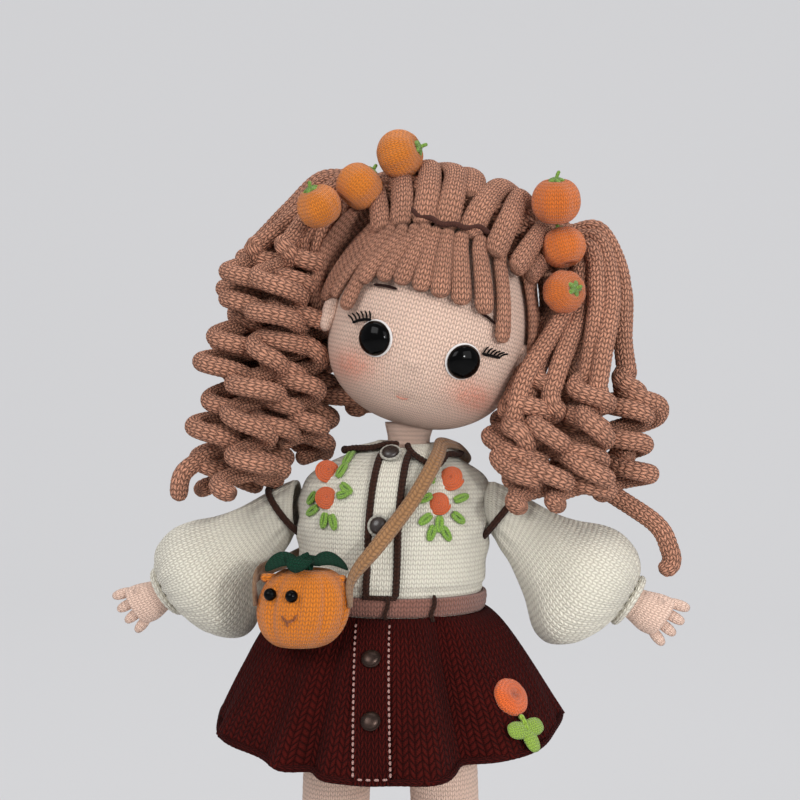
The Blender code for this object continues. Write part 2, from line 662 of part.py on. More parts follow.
def arm_frame_ring(along, across, deep, rise, tip, turn):
    """One ring round the arm's axis. tip 0 keeps it upright, 1 sets it square to the axis."""
    drop = math.radians(ARM_DROP_DEG)
    centre = np.array([along * math.cos(drop), 0.0, -along * math.sin(drop)])
    lean = drop * tip
    up = np.array([math.sin(lean), 0.0, math.cos(lean)])
    side = np.array([0.0, -1.0, 0.0])
    return (centre + up * (np.cos(turn) * across + rise)[:, None] + side * (np.sin(turn) * deep)[:, None])


def make_arm(side, word):
    """One arm with its mitten hand and thumb, in a gathered sleeve, on its shoulder's pivot."""
    shoulder = add_pivot("shoulder_" + word, (side * SHOULDER_SPREADS[side], 0.0, SHOULDER_HEIGHT))
    flip = np.array([side, 1.0, 1.0])
    turn = full_turn(SIDES // 2)
    rings = []
    for share, across, deep, rise in ARM_SHARES:
        tip = min(1.0, share / 0.20)
        level = np.full(len(turn), ARM_RADIUS * rise)
        rings.append(flip * arm_frame_ring(
            ARM_LENGTH * share, ARM_RADIUS * across, ARM_RADIUS * deep, level, tip, turn))
    arm = loft("arm_" + word, rings, "skin", shoulder)
    drop = math.radians(ARM_DROP_DEG)
    reach = math.radians(ARM_DROP_DEG - THUMB_TURN_DEG)
    root = np.array([math.cos(drop), 0.0, -math.sin(drop)]) * ARM_LENGTH * THUMB_SHARE
    way = np.array([math.cos(reach), -0.35, -math.sin(reach)])
    points = [flip * (root + way * THUMB_LENGTH * t) for t in (0.0, 0.35, 0.7, 0.95, 1.15)]
    thumb = mesh_from_curve(tube("thumb_" + word, points, THUMB_RADIUS, "skin", shoulder))
    combine(arm, make_cutter(thumb), "UNION")
    turn = full_turn(SLEEVE_SIDES)
    grid = []
    for share, radius_share, sag_share, tip in SLEEVE_SHARES:
        radius = SLEEVE_RADIUS * radius_share - SLEEVE_WALL
        gather = 1 + SLEEVE_FOLD_SHARE * np.cos(SLEEVE_FOLDS * turn) * min(1.0, share * 4) * (share < 0.96)
        sag = np.full(len(turn), -SLEEVE_SAG * sag_share)
        grid.append(flip * arm_frame_ring(
            SLEEVE_LENGTH * share, radius * gather, radius * gather, sag, tip, turn))
    sheet("sleeve_" + word, grid, SLEEVE_WALL, "cream", shoulder, wrap=True)


def mesh_from_curve(obj):
    """Replace a curve object by a closed mesh of it, so that a Boolean can use it."""
    bpy.context.view_layer.update()
    graph = bpy.context.evaluated_depsgraph_get()
    mesh = bpy.data.meshes.new_from_object(obj.evaluated_get(graph))
    shape = bmesh.new()
    shape.from_mesh(mesh)
    bmesh.ops.remove_doubles(shape, verts=shape.verts, dist=GAP / 10)
    bmesh.ops.recalc_face_normals(shape, faces=shape.faces)
    shape.to_mesh(mesh)
    shape.free()
    made = bpy.data.objects.new(obj.name + "_mesh", mesh)
    for group in obj.users_collection:
        group.objects.link(made)
    made.parent = obj.parent
    made.matrix_world = obj.matrix_world
    bpy.data.objects.remove(obj)
    return made


def bag_point(angle, lift, offset):
    """A point of the ribbed bag in its own frame: angle round Z from the front, lift -90 to 90 degrees."""
    half_x, half_y, half_z = (size + offset for size in BAG_HALF)
    squash = np.cos(lift) ** 0.72
    rib = 1 - BAG_RIB_SHARE * np.abs(np.cos(BAG_RIBS * angle / 2)) ** 6 * np.cos(lift)
    return np.stack(np.broadcast_arrays(
        half_x * squash * rib * np.sin(angle), -half_y * squash * rib * np.cos(angle),
        half_z * np.sin(lift)), axis=-1)


def make_bag():
    """Stuffed fruit-shaped bag with leaves and bead eyes, hung on its hinge, and its strap."""
    centre = np.array(BAG_CENTRE)
    hinge_rise = BAG_HALF[2] * BAG_HINGE_SHARE
    hinge = add_pivot("bag_hinge", centre + np.array([0.0, 0.0, hinge_rise]))
    hang = add_pivot("bag_frame", (0.0, 0.0, -hinge_rise), hinge)
    lifts = np.linspace(-math.pi / 2, math.pi / 2, BAG_RINGS + 1)
    turn = full_turn(BAG_SIDES)
    grid = np.stack([bag_point(turn, lift, 0.0) for lift in lifts])
    bag = add_object("bag", mesh_from_grid("bag", grid, wrap=True), "orange", hang)
    reach = BAG_HALF[0] * BAG_KNOT_SHARE
    knot = make_cutter(cylinder("bag_knot", BAG_KNOT_RADIUS, -reach, reach, SIDES // 2, "orange", hang))
    knot.rotation_euler = (0.0, math.pi / 2, 0.0)
    knot.location.z = hinge_rise
    combine(bag, knot, "UNION")
    for side, word in ((-1, "right"), (1, "left")):
        angle = math.asin(BAG_EYE_SHIFT_SHARE + side * BAG_EYE_SPREAD_SHARE / 2)
        lift = math.asin(BAG_EYE_RISE_SHARE)
        place = bag_point(angle, lift, BAG_EYE_RADIUS + GAP * 2)
        eye = ball("bag_eye_" + word, (BAG_EYE_RADIUS,) * 3, "black", hang, sides=10, rings=6)
        eye.location = place
    clear = np.stack([bag_point(turn[::2], lift, GAP * 2) for lift in lifts])
    seat = make_cutter(add_object("bag_seat", mesh_from_grid("bag_seat", clear, wrap=True), "orange", hang))
    top = BAG_HALF[2]
    stem = ball("bag_leaves", (BAG_STEM_RADIUS * 2, BAG_STEM_RADIUS * 2, BAG_STEM_LENGTH), "green", hang)
    stem.location.z = top + BAG_STEM_LENGTH / 2
    for side in (-1, 1):
        leaf = make_cutter(ball("bag_leaf", BAG_LEAF_HALF, "green", hang, sides=12, rings=6))
        tilt = math.radians(BAG_LEAF_TURN_DEG) * side
        leaf.rotation_euler = (math.radians(BAG_LEAF_TURN_DEG), tilt, 0.0)
        leaf.location = (side * BAG_LEAF_HALF[0] * 0.85, -BAG_LEAF_HALF[1] * 0.5, top + BAG_LEAF_HALF[2] * 0.3)
        combine(stem, leaf, "UNION")
    combine(stem, seat, "DIFFERENCE")
    make_strap(centre, hinge_rise)


def make_strap(centre, hinge_rise):
    """Crocheted band from the bag's left side over the shoulder and round the back to its right side."""
    rest = CLOTH_EASE * 2 + CLOTH_WALL + TRIM_WALL + GAP * 4 + STRAP_WALL / 2
    table = np.array([*reversed(STRAP_BACK_ROUTE), *STRAP_FRONT_ROUTE])
    table[:, 0] = np.degrees(np.unwrap(np.radians(table[:, 0])))
    course = smooth_path(table, len(table) * STRAP_STEPS)
    worn = np.stack([body_point(math.radians(angle), share, rest) for angle, share in course])
    half_x = BAG_HALF[0] * BAG_KNOT_SHARE + GAP + STRAP_WALL / 2
    hinge_z = centre[2] + hinge_rise
    first = (centre[0] - half_x, centre[1], hinge_z)
    last = (centre[0] + half_x, centre[1], hinge_z)
    path = np.vstack((
        smooth_path((first, (first + worn[0]) / 2 + np.array(STRAP_BOW) * (-1, 1, 1), worn[0]), 5)[:-1],
        worn,
        smooth_path((worn[-1], (last + worn[-1]) / 2 + np.array(STRAP_BOW), last), 5)[1:]))
    along = np.gradient(path, axis=0)
    along /= np.linalg.norm(along, axis=1)[:, None]
    middle = np.stack([np.array([NECK_OFFSET / 2, 0.0, 0.0])] * len(path))
    outward = path - middle
    outward[:, 2] = np.where(path[:, 2] > SHOULDER_HEIGHT, (path[:, 2] - SHOULDER_HEIGHT), 0.0)
    outward[:1] = (-1.0, 0.0, 0.0)
    outward[-1:] = (1.0, 0.0, 0.0)
    outward /= np.linalg.norm(outward, axis=1)[:, None]
    across = np.cross(along, outward)
    across /= np.linalg.norm(across, axis=1)[:, None]
    outward = np.cross(across, along)
    half, deep = STRAP_WIDTH / 2, STRAP_WALL / 2
    corners = ((-half, -deep), (half, -deep), (half, deep), (-half, deep))
    rings = np.stack([path + across * a + outward * b for a, b in corners], axis=1)
    loft("bag_strap", rings, "strap")


def head_radius(polar, offset):
    """The head's radius and height at a polar angle from its top, offset outwards."""
    above = np.cos(polar) >= 0
    size = np.where(above, HEAD_ABOVE, HEAD_BELOW) + offset
    power = np.where(above, 1.0, HEAD_CHEEK_POWER)
    radius = (HEAD_RADIUS + offset) * np.sin(polar) ** power
    return radius, HEAD_WIDEST + size * np.cos(polar)


def head_point(angle, polar, offset):
    """A point on the head: angle from the front towards +X, polar angle from the top."""
    radius, height = head_radius(np.clip(polar, 0.0, math.pi), offset)
    return np.stack(np.broadcast_arrays(radius * np.sin(angle), -radius * np.cos(angle), height), axis=-1)


def head_normal(angle, polar):
    """The outward direction of the head's surface."""
    step = 0.01
    across = head_point(angle + step, polar, 0.0) - head_point(angle - step, polar, 0.0)
    up = head_point(angle, polar - step, 0.0) - head_point(angle, polar + step, 0.0)
    normal = np.cross(across, up)
    return normal / np.linalg.norm(normal)


def head_ball(name, offset, frame):
    """The whole head as a turned shape, offset outwards."""
    polars = np.linspace(0.0, math.pi, HEAD_RINGS + 1)
    profile = []
    for polar in polars:
        radius, height = head_radius(polar, offset)
        profile.append((0.0 if polar in (polars[0], polars[-1]) else float(radius), float(height)))
    return lathe(name, profile, SIDES, "skin", frame)


def make_head():
    """The stuffed head on its dowel, with its eyes, ears, hair and ponytails, all on the neck's pivot."""
    neck = add_pivot("neck_pivot", (NECK_OFFSET, 0.0, NECK_HEIGHT))
    frame = add_pivot("head_frame", Vector(HEAD_CENTRE) - Vector(neck.location), neck)
    turn = Matrix.Rotation(math.radians(HEAD_YAW_DEG), 4, "Z") @ Matrix.Rotation(
        math.radians(HEAD_TILT_DEG), 4, "Y")
    frame.rotation_euler = turn.to_euler()
    head = head_ball("head", 0.0, frame)
    neck_top = TORSO_BOTTOM + TORSO_HEIGHT + GAP
    under = cylinder("head_seat", HEAD_RADIUS, neck_top - HEAD_BELOW, neck_top, SIDES, "skin")
    under.location.x = NECK_OFFSET
    combine(head, make_cutter(under), "DIFFERENCE")
    dowel_top = TORSO_BOTTOM + TORSO_HEIGHT - DOWEL_IN_TORSO + DOWEL_LENGTH
    bore = cylinder("head_bore", DOWEL_RADIUS + GAP, neck_top - CUT_OVERRUN, dowel_top + GAP, SIDES // 2, "skin")
    bore.location.x = NECK_OFFSET
    combine(head, make_cutter(bore), "DIFFERENCE")
    for side, word in ((-1, "right"), (1, "left")):
        make_eye(side, word, head, frame)
        make_ear(side, word, frame)
    make_hair(frame, turn, neck)


def make_eye(side, word, head, frame):
    """A domed safety eye on a felt disc, its stem through the head's wall and its washer behind."""
    angle, polar = math.radians(EYE_DEG) * side, math.radians(EYE_POLAR_DEG)
    place = facing(head_point(angle, polar, 0.0), head_normal(angle, polar))
    bore = EYE_STEM_RADIUS + GAP
    seat = FELT_RADIUS + GAP
    pocket = WASHER_RADIUS + GAP
    pocket_top = -WASHER_DEPTH + GAP
    pocket_low = -WASHER_DEPTH - WASHER_WALL - GAP
    cut = lathe("eye_cut_" + word, (
        (0.0, HEAD_RADIUS / 4), (seat, HEAD_RADIUS / 4), (seat, -SEAT_DEPTH), (bore, -SEAT_DEPTH),
        (bore, pocket_top), (pocket, pocket_top), (pocket, pocket_low), (bore, pocket_low),
        (bore, -EYE_STEM_LENGTH - GAP), (0.0, -EYE_STEM_LENGTH - GAP)), SIDES // 2 + 4, "skin", frame)
    cut.matrix_basis = place
    combine(head, make_cutter(cut), "DIFFERENCE")
    felt_low = -SEAT_DEPTH + GAP
    felt = lathe("eye_felt_" + word, ring_profile(bore, FELT_RADIUS, felt_low, felt_low + FELT_WALL),
                 SIDES // 2 + 4, "felt", frame, closed=True)
    felt.matrix_basis = place
    base = felt_low + FELT_WALL + GAP
    turns = [math.radians(a) for a in (90, 66, 42, 20, 0)]
    profile = [(EYE_RADIUS * math.cos(t), base + EYE_HEIGHT * math.sin(t)) for t in turns]
    profile[0] = (0.0, base + EYE_HEIGHT)
    profile += [(EYE_STEM_RADIUS, base), (EYE_STEM_RADIUS, -EYE_STEM_LENGTH), (0.0, -EYE_STEM_LENGTH)]
    eye = lathe("eye_" + word, profile, SIDES // 2 + 4, "black", frame)
    eye.matrix_basis = place
    washer = lathe("eye_washer_" + word, ring_profile(
        bore, WASHER_RADIUS, -WASHER_DEPTH - WASHER_WALL, -WASHER_DEPTH), SIDES // 2 + 4, "black", frame,
        closed=True)
    washer.matrix_basis = place


def make_ear(side, word, frame):
    """A small crocheted ear sewn to the side of the head."""
    ear = ball("ear_" + word, EAR_HALF, "skin", frame, sides=10, rings=8)
    ear.location = head_point(side * math.radians(EAR_DEG), math.radians(EAR_POLAR_DEG), GAP)
    ear.rotation_euler = (0.0, 0.0, side * math.radians(EAR_DEG - 90.0))
    clear = make_cutter(head_ball("ear_clear_" + word, GAP * 1.5, frame))
    combine(ear, clear, "DIFFERENCE")


def cap_edge(angle):
    """The polar angle of the hair cap's lower edge, the same on both sides."""
    turn = np.abs((np.degrees(angle) + 180.0) % 360.0 - 180.0)
    table = np.asarray(CAP_EDGE_DEG, float)
    return np.radians(np.interp(turn, table[:, 0], table[:, 1]))


def make_hair(frame, turn, neck):
    """Hair cap, fringe, the hair swept up to two ties, the small fruits and the hanging strands."""
    angles = full_turn(SIDES)
    shares = np.linspace(0.0, 1.0, CAP_RINGS + 1)
    grid = np.stack([head_point(angles, cap_edge(angles) * share, HAIR_EASE) for share in shares])
    sheet("hair_cap", grid, HAIR_WALL, "hair", frame, wrap=True, inside=(0.0, 0.0, HEAD_WIDEST))
    make_fringe(frame)
    reach = HAIR_EASE + HAIR_WALL + GAP * 1.5
    fruits = []
    for number, (side, centre, radius) in enumerate(FRUITS, start=1):
        fruit = ball("hair_fruit_%d" % number, (radius,) * 3, "orange", frame, sides=12, rings=8)
        fruit.location = centre
        room = ball("fruit_room_%d" % number, (radius + GAP * 1.5,) * 3, "orange", frame, sides=12, rings=8)
        room.location = centre
        fruits.append((side, make_cutter(room)))
    for side, word in ((-1, "right"), (1, "left")):
        crown = make_crown(side, word, frame)
        combine(crown, make_cutter(head_ball("crown_clear_" + word, reach, frame)), "DIFFERENCE")
        for owner, room in fruits:
            if owner == side:
                combine(crown, room, "DIFFERENCE")
    make_strands(turn, neck)


def make_fringe(frame):
    """Strands combed down over the forehead, sewn along the edge of the cap."""
    cells = FRINGE_STRANDS * 4
    share = np.linspace(0.0, 1.0, cells + 1)
    angles = np.radians(FRINGE_DEG[0] + (FRINGE_DEG[1] - FRINGE_DEG[0]) * share)
    ridge = np.abs(np.sin(share * FRINGE_STRANDS * math.pi)) ** 0.7
    table = np.asarray(FRINGE_EDGE_DEG, float)
    low = np.radians(np.interp(np.degrees(angles), table[:, 0], table[:, 1])
                     - FRINGE_SCALLOP_DEG * (1 - ridge))
    high = cap_edge(angles) + GAP * 2 / HEAD_RADIUS + math.radians(1.0)
    downs = np.linspace(0.0, 1.0, FRINGE_ROWS)
    inner = np.stack([head_point(angles, high + (low - high) * d, HAIR_EASE) for d in downs])
    outer = []
    for d in downs:
        rise = FRINGE_THIN + FRINGE_RIDGE * ridge * (1 - 0.35 * d ** 3)
        polar = high + (low - high) * d
        radius = head_point(angles, polar, 0.0)
        lifted = head_point(angles, polar, HAIR_EASE + FRINGE_THIN + FRINGE_RIDGE)
        full = HAIR_EASE + FRINGE_THIN + FRINGE_RIDGE
        outer.append(radius + (lifted - radius) * ((HAIR_EASE + rise) / full)[:, None])
    solid_between("fringe", inner, np.stack(outer), "hair", frame)


def crown_way(side):
    """The direction in which a ponytail leaves its tie, in the head's frame."""
    way = np.array(CROWN_WAY) * (side, 1.0, 1.0)
    return way / np.linalg.norm(way)


def ring_across(centre, way, radius, turns):
    """Points of a circle square to a direction, from its upper side round by its front."""
    front = np.cross(way, (0.0, 0.0, 1.0)) * math.copysign(1.0, way[0])
    front /= np.linalg.norm(front)
    up = np.cross(front, way) * math.copysign(1.0, way[0])
    return centre + radius * (np.cos(turns)[:, None] * up + np.sin(turns)[:, None] * front)


def make_crown(side, word, frame):
    """Hair swept from the parting up to one tie, ribbed along its strands, with the elastic tie."""
    turns = full_turn(CROWN_SIDES)
    rib = 1 - CROWN_RIB_SHARE * np.abs(np.cos(CROWN_RIBS * turns / 2)) ** 3
    rings = []
    for out, depth, height, half_depth, half_height in CROWN_SHARES:
        centre = (CROWN_PART + CROWN_REACH * out, CROWN_HALF_DEPTH * depth, CROWN_HALF_HEIGHT * height)
        y_place = centre[1] + CROWN_HALF_DEPTH * half_depth * rib * np.sin(turns)
        z_place = centre[2] + CROWN_HALF_HEIGHT * half_height * rib * np.cos(turns)
        rings.append(np.stack(np.broadcast_arrays(side * centre[0], y_place, z_place), axis=-1))
    way = crown_way(side)
    end = np.array(CROWN_END) * (side, 1.0, 1.0)
    for step in (0.0, CROWN_BAND):
        rings.append(ring_across(end + way * step, way, CROWN_END_RADIUS, -turns))
    crown = loft("crown_" + word, rings, "hair", frame)
    tie = lathe("hair_tie_" + word, ring_profile(
        CROWN_END_RADIUS + GAP, CROWN_END_RADIUS + GAP + TIE_WALL, 0.0, TIE_WIDTH), SIDES, "hair", frame,
        closed=True)
    tie.matrix_basis = facing(end + way * (CROWN_BAND - TIE_WIDTH), way)
    return crown


def curled_path(start, way, route, top, bottom, turns, first, tail):
    """A strand's middle line: out of the tie, along its route, then a helix that widens, then its tail."""
    knots = np.array([start + way * STRAND_RADIUS * 0.9, *route, top], float)
    length = np.linalg.norm(np.diff(knots, axis=0), axis=1).sum()
    straight = np.vstack((start, smooth_path(knots, max(5, int(length / (STRAND_RADIUS * STRAIGHT_STEP))))))
    count = int(round(turns * CURL_POINTS))
    steps = np.arange(1, count + 1) / count
    angle = math.radians(first) + steps * turns * 2 * math.pi
    grow = np.minimum(1.0, steps * turns / 0.9)
    line = np.array(top) + (np.array(bottom) - np.array(top)) * steps[:, None]
    curl = line + CURL_RADIUS * grow[:, None] * np.stack(
        (np.cos(angle), np.sin(angle), np.zeros(count)), axis=1)
    return np.concatenate((straight, curl, np.array(tail, float).reshape(-1, 3)))


def least_gap(path, radius):
    """The least clear gap between stretches of a strand that are not neighbours."""
    apart = np.linalg.norm(path[:, None] - path[None], axis=2)
    run = np.concatenate(([0.0], np.cumsum(np.linalg.norm(np.diff(path, axis=0), axis=1))))
    far = np.abs(run[:, None] - run[None]) > 2 * math.pi * radius
    return float(apart[far].min() - 2 * radius)


def make_strands(turn, neck):
    """The ponytails: strands that leave each tie and end in corkscrew curls."""
    spin = np.array(turn.to_3x3())
    names = {-1: "right", 1: "left"}
    count = {-1: 0, 1: 0}
    for side, place, route, top, bottom, turns, first, tail in STRANDS:
        count[side] += 1
        way = crown_way(side)
        end = np.array(CROWN_END) * (side, 1.0, 1.0) + way * (CROWN_BAND + GAP)
        start = ring_across(end, way, START_RING, np.array([math.radians(place)]))[0]
        start = spin @ start + np.array(HEAD_CENTRE)
        path = curled_path(start, spin @ way, route, top, bottom, turns, first, tail)
        name = "strand_%s_%d" % (names[side], count[side])
        strand = tube(name, path - np.array(neck.location), STRAND_RADIUS, "hair", neck)
        print(name, "least gap to itself %.2f mm" % (least_gap(path, STRAND_RADIUS) * 1000))
        strand.data.materials[0].name = name + "_hair"


DOLL = None
CUTTERS = None
FINISHES = {}
COLOURS = {
    "skin": ((0.86, 0.62, 0.50), 0.9),
    "cream": ((0.80, 0.77, 0.66), 0.9),
    "maroon": ((0.11, 0.025, 0.025), 0.9),
    "belt": ((0.30, 0.17, 0.14), 0.9),
    "strap": ((0.40, 0.25, 0.13), 0.9),
    "hair": ((0.34, 0.16, 0.12), 0.9),
    "orange": ((0.85, 0.30, 0.03), 0.9),
    "green": ((0.02, 0.14, 0.06), 0.9),
    "lime": ((0.30, 0.42, 0.08), 0.9),
    "felt": ((0.90, 0.90, 0.88), 0.9),
    "black": ((0.01, 0.01, 0.01), 0.12),
    "bronze": ((0.10, 0.07, 0.05), 0.3),
    "wood": ((0.55, 0.38, 0.22), 0.6),
}


def build_doll():
    """Make every piece of the doll."""
    make_torso()
    for side, word in ((-1, "right"), (1, "left")):
        make_leg_and_shoe(side, word)
        make_arm(side, word)
    make_blouse()
    make_belt()
    make_skirt()
    make_bag()
    make_head()


clear_scene()
DOLL = make_collection("crocheted_doll")
CUTTERS = make_collection("cutters")
for key, (colour, roughness) in COLOURS.items():
    FINISHES[key] = make_material(key, colour, roughness)
build_doll()
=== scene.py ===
import math

import bpy
import numpy as np
from mathutils import Matrix, Vector


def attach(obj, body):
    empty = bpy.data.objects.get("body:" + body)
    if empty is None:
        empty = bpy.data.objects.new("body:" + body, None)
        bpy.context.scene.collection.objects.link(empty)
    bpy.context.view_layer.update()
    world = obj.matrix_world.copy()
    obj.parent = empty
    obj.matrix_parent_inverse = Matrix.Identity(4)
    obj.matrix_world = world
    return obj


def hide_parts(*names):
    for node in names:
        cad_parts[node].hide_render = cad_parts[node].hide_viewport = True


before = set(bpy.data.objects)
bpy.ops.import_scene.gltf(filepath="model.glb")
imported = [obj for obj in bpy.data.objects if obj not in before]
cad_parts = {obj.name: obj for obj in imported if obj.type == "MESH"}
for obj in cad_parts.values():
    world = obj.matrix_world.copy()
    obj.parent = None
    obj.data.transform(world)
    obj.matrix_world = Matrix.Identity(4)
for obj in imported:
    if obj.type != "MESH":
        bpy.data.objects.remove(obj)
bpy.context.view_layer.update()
print("frame loaded")
bothSides = ((-1, "right"), (1, "left"))  # the doll's own right lies towards -X


def screenColour(red, green, blue):
    # sRGB values of 0 to 255 as a linear colour
    value = np.array([red, green, blue]) / 255.0
    linear = np.where(value <= 0.04045, value / 12.92, ((value + 0.055) / 1.055) ** 2.4)
    return (*linear.tolist(), 1.0)


def unit(vector):
    # vectors divided by their own lengths
    return vector / np.linalg.norm(vector, axis=-1, keepdims=True)


def wheel(count):
    # evenly spaced angles of one full turn
    return np.arange(count) * 2 * math.pi / count


def pointGrid(x, y, z):
    # points from three coordinates, each a number, a row, a column or a grid
    return np.stack(np.broadcast_arrays(x, y, z), axis=-1)


def runAlong(points):
    # the length of a line up to each of its points: the sum of the steps before it
    return np.concatenate(([0.0], np.cumsum(np.linalg.norm(np.diff(points, axis=0), axis=1))))


def stitchMap(rows, across):
    # u counts stitches across a grid, v counts rows along it
    return np.stack(np.meshgrid(rows, across, indexing="ij")[::-1], axis=-1)


def metres(points):
    # points written in millimetres, as an array in metres
    return np.array(points, float) / 1000


def spun(points, angle):
    # points turned about the z axis by an angle
    x, y = points[..., 0], points[..., 1]
    return pointGrid(x * math.cos(angle) - y * math.sin(angle), x * math.sin(angle) + y * math.cos(angle),
                     points[..., 2])


def outward(surface, first, second, step=0.01):
    # the cross product of a surface's own small differences in its two directions
    across = surface(first + step, second) - surface(first - step, second)
    up = surface(first, second + step) - surface(first, second - step)
    return unit(np.cross(across, up))


def smoothLine(knots, count):
    # Catmull-Rom curve through the knots, read at even steps of its length
    knots = np.asarray(knots, float)
    ends = np.vstack((2 * knots[0] - knots[1], knots, 2 * knots[-1] - knots[-2]))
    steps = np.linspace(0.0, len(knots) - 1.0, 40 * len(knots))
    first = np.minimum(steps.astype(int), len(knots) - 2)
    t = (steps - first)[:, None]
    a, b, c, d = ends[first], ends[first + 1], ends[first + 2], ends[first + 3]
    fine = (2 * b + (c - a) * t + (2 * a - 5 * b + 4 * c - d) * t**2 + (3 * b - a - 3 * c + d) * t**3) / 2
    run = runAlong(fine)
    even = np.linspace(0.0, run[-1], count)
    return np.stack([np.interp(even, run, fine[:, k]) for k in range(3)], axis=1)


def lineLength(points):
    # the sum of the distances between neighbouring points
    return float(np.linalg.norm(np.diff(points, axis=0), axis=1).sum())


def gaugeUv(points, wrap, gauge):
    # the stitch map of a grid from its real lengths: so many stitches of the gauge across and along
    around = np.concatenate((points, points[:, :1]), axis=1) if wrap else points
    widths = np.linalg.norm(np.diff(around, axis=1), axis=2).sum(axis=1)
    stitches = max(1.0, round(float(np.percentile(widths, 80)) / gauge[0]))
    steps = np.linalg.norm(np.diff(points, axis=0), axis=2).mean(axis=1)
    rows = np.append(0.0, np.cumsum(steps)) / gauge[1]
    across = np.linspace(0.0, stitches, around.shape[1])
    return stitchMap(rows, across)


def gridShell(points, gauge=(0.0018, 0.0017), uv=None, wrap=True, caps=(False, False), inside=None):
    # quads between a grid's rows and columns, fans over its capped ends, all facing away from its middle
    rows, columns = points.shape[:2]
    uv = gaugeUv(points, wrap, gauge) if uv is None else uv
    i, j = np.meshgrid(np.arange(rows - 1), np.arange(columns if wrap else columns - 1), indexing="ij")
    i, j = i.ravel(), j.ravel()
    after = (j + 1) % columns
    quads = np.stack([i * columns + j, i * columns + after, (i + 1) * columns + after,
                      (i + 1) * columns + j], axis=1)
    corners = np.stack([uv[i, j], uv[i, j + 1], uv[i + 1, j + 1], uv[i + 1, j]], axis=1)
    verts = points.reshape(-1, 3)
    place = verts[quads]
    normal = np.cross(place[:, 2] - place[:, 0], place[:, 3] - place[:, 1])
    middle = verts.mean(axis=0) if inside is None else np.asarray(inside, float)
    if wrap and inside is None and all(caps):  # a long tube: away from each ring's own middle
        middle = points.mean(axis=1)[i]
    turned = np.einsum("ij,ij->i", place.mean(axis=1) - middle, normal).sum() < 0
    if turned:
        quads, corners = quads[:, ::-1], corners[:, ::-1]
    faces, uvs = [quads], [corners]
    ring = np.arange(columns)
    for use, row, back in ((caps[0], 0, False), (caps[1], rows - 1, True)):
        if use:
            verts = np.vstack((verts, points[row].mean(axis=0)))
            fan = np.stack([np.full(columns, len(verts) - 1), np.roll(ring, -1) + row * columns,
                            ring + row * columns], axis=1)
            fanUv = np.stack([(uv[row, ring] + uv[row, ring + 1]) / 2, uv[row, ring + 1], uv[row, ring]],
                             axis=1)
            if back != turned:
                fan, fanUv = fan[:, ::-1], fanUv[:, ::-1]
            faces.append(fan)
            uvs.append(fanUv)
    return verts, faces, uvs


def shellPiece(name, shells, material, body, slot, replaces=(), wall=0.0, offset=1.0, smooth=0, marks=None):
    # one mesh from any number of shells, with its stitch map, on its body
    verts, faces, uvs, count = [], [], [], 0
    for shell in shells:
        verts.append(shell[0])
        faces += [f + count for f in shell[1]]
        uvs += [part.reshape(-1) for part in shell[2]]
        count += len(shell[0])
    verts = np.vstack(verts)
    lists = [face for group in faces for face in group.tolist()]
    mesh = bpy.data.meshes.new(name)
    mesh.from_pydata(verts.tolist(), [], lists)
    mesh.uv_layers.new(name="stitches").data.foreach_set("uv", np.concatenate(uvs))
    for key, values in (marks or {}).items():
        filled = np.zeros(len(verts))
        filled[:values.size] = values.ravel()
        mesh.attributes.new(key, "FLOAT", "POINT").data.foreach_set("value", filled)
    mesh.polygons.foreach_set("use_smooth", np.ones(len(lists), bool))
    mesh.materials.append(material)
    mesh.update()
    piece = bpy.data.objects.new(name, mesh)
    bpy.context.scene.collection.objects.link(piece)
    if wall:
        skin = piece.modifiers.new("wall", "SOLIDIFY")
        skin.thickness, skin.offset, skin.use_even_offset = wall, offset, True
    if smooth:
        rounder = piece.modifiers.new("round", "SUBSURF")
        rounder.levels = rounder.render_levels = smooth
    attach(piece, body)
    if replaces:
        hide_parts(*replaces)
    return piece


def gridPiece(name, points, material, body, slot, gauge=(0.0018, 0.0017), uv=None, wrap=True,
              caps=(False, False), inside=None, **rest):
    # one grid as a piece of its own
    return shellPiece(name, [gridShell(points, gauge, uv, wrap, caps, inside)], material, body, slot, **rest)


def pathFrames(path):
    # two directions square to the path, carried along it without twist
    along = unit(np.gradient(path, axis=0))
    side = np.empty_like(path)
    guess = np.cross(along[0], (0.0, 0.0, 1.0))
    side[0] = unit(guess if np.linalg.norm(guess) > 0.1 else np.cross(along[0], (1.0, 0.0, 0.0)))
    for step in range(1, len(path)):  # one step per path point, not per vertex
        side[step] = unit(side[step - 1] - along[step] * np.dot(side[step - 1], along[step]))
    return along, side, np.cross(along, side)


def tubeShell(path, radius, gauge=(0.0024, 0.0020), sides=18, relief=0.10, flat=1.0, ends=0.5, facing=None):
    # a circle carried along a path, rounded at both ends, raised where the legs of its stitches lie;
    # flat presses it towards what it lies on, whose outward direction is facing
    along, side, up = pathFrames(path)
    if facing is not None:
        side = unit(np.cross(facing, along))
        up = np.cross(along, side)
    run = runAlong(path)
    turn = wheel(sides)
    stitches = max(3.0, round(2 * math.pi * float(np.max(radius)) / gauge[0]))
    u = np.linspace(0.0, stitches, sides + 1)
    uv = stitchMap(run / gauge[1], u)
    leg = np.abs(uv[:, :-1, 0] % 1.0 - 0.5) * 2
    raised = np.abs(np.sin(np.pi * (uv[:, :-1, 1] - 0.55 * leg))) ** 0.7
    near = np.clip(np.minimum(run, run[-1] - run) / (radius * ends * 2), 0.0, 1.0)
    taper = np.sqrt(1 - (1 - near) ** 2)
    size = (radius * (0.22 + 0.78 * taper))[:, None] * (1 - relief + relief * raised)
    ring = (size * np.cos(turn))[:, :, None] * side[:, None]
    ring = ring + (size * np.sin(turn) * flat)[:, :, None] * up[:, None]
    return gridShell(path[:, None] + ring, uv=uv, caps=(True, True))


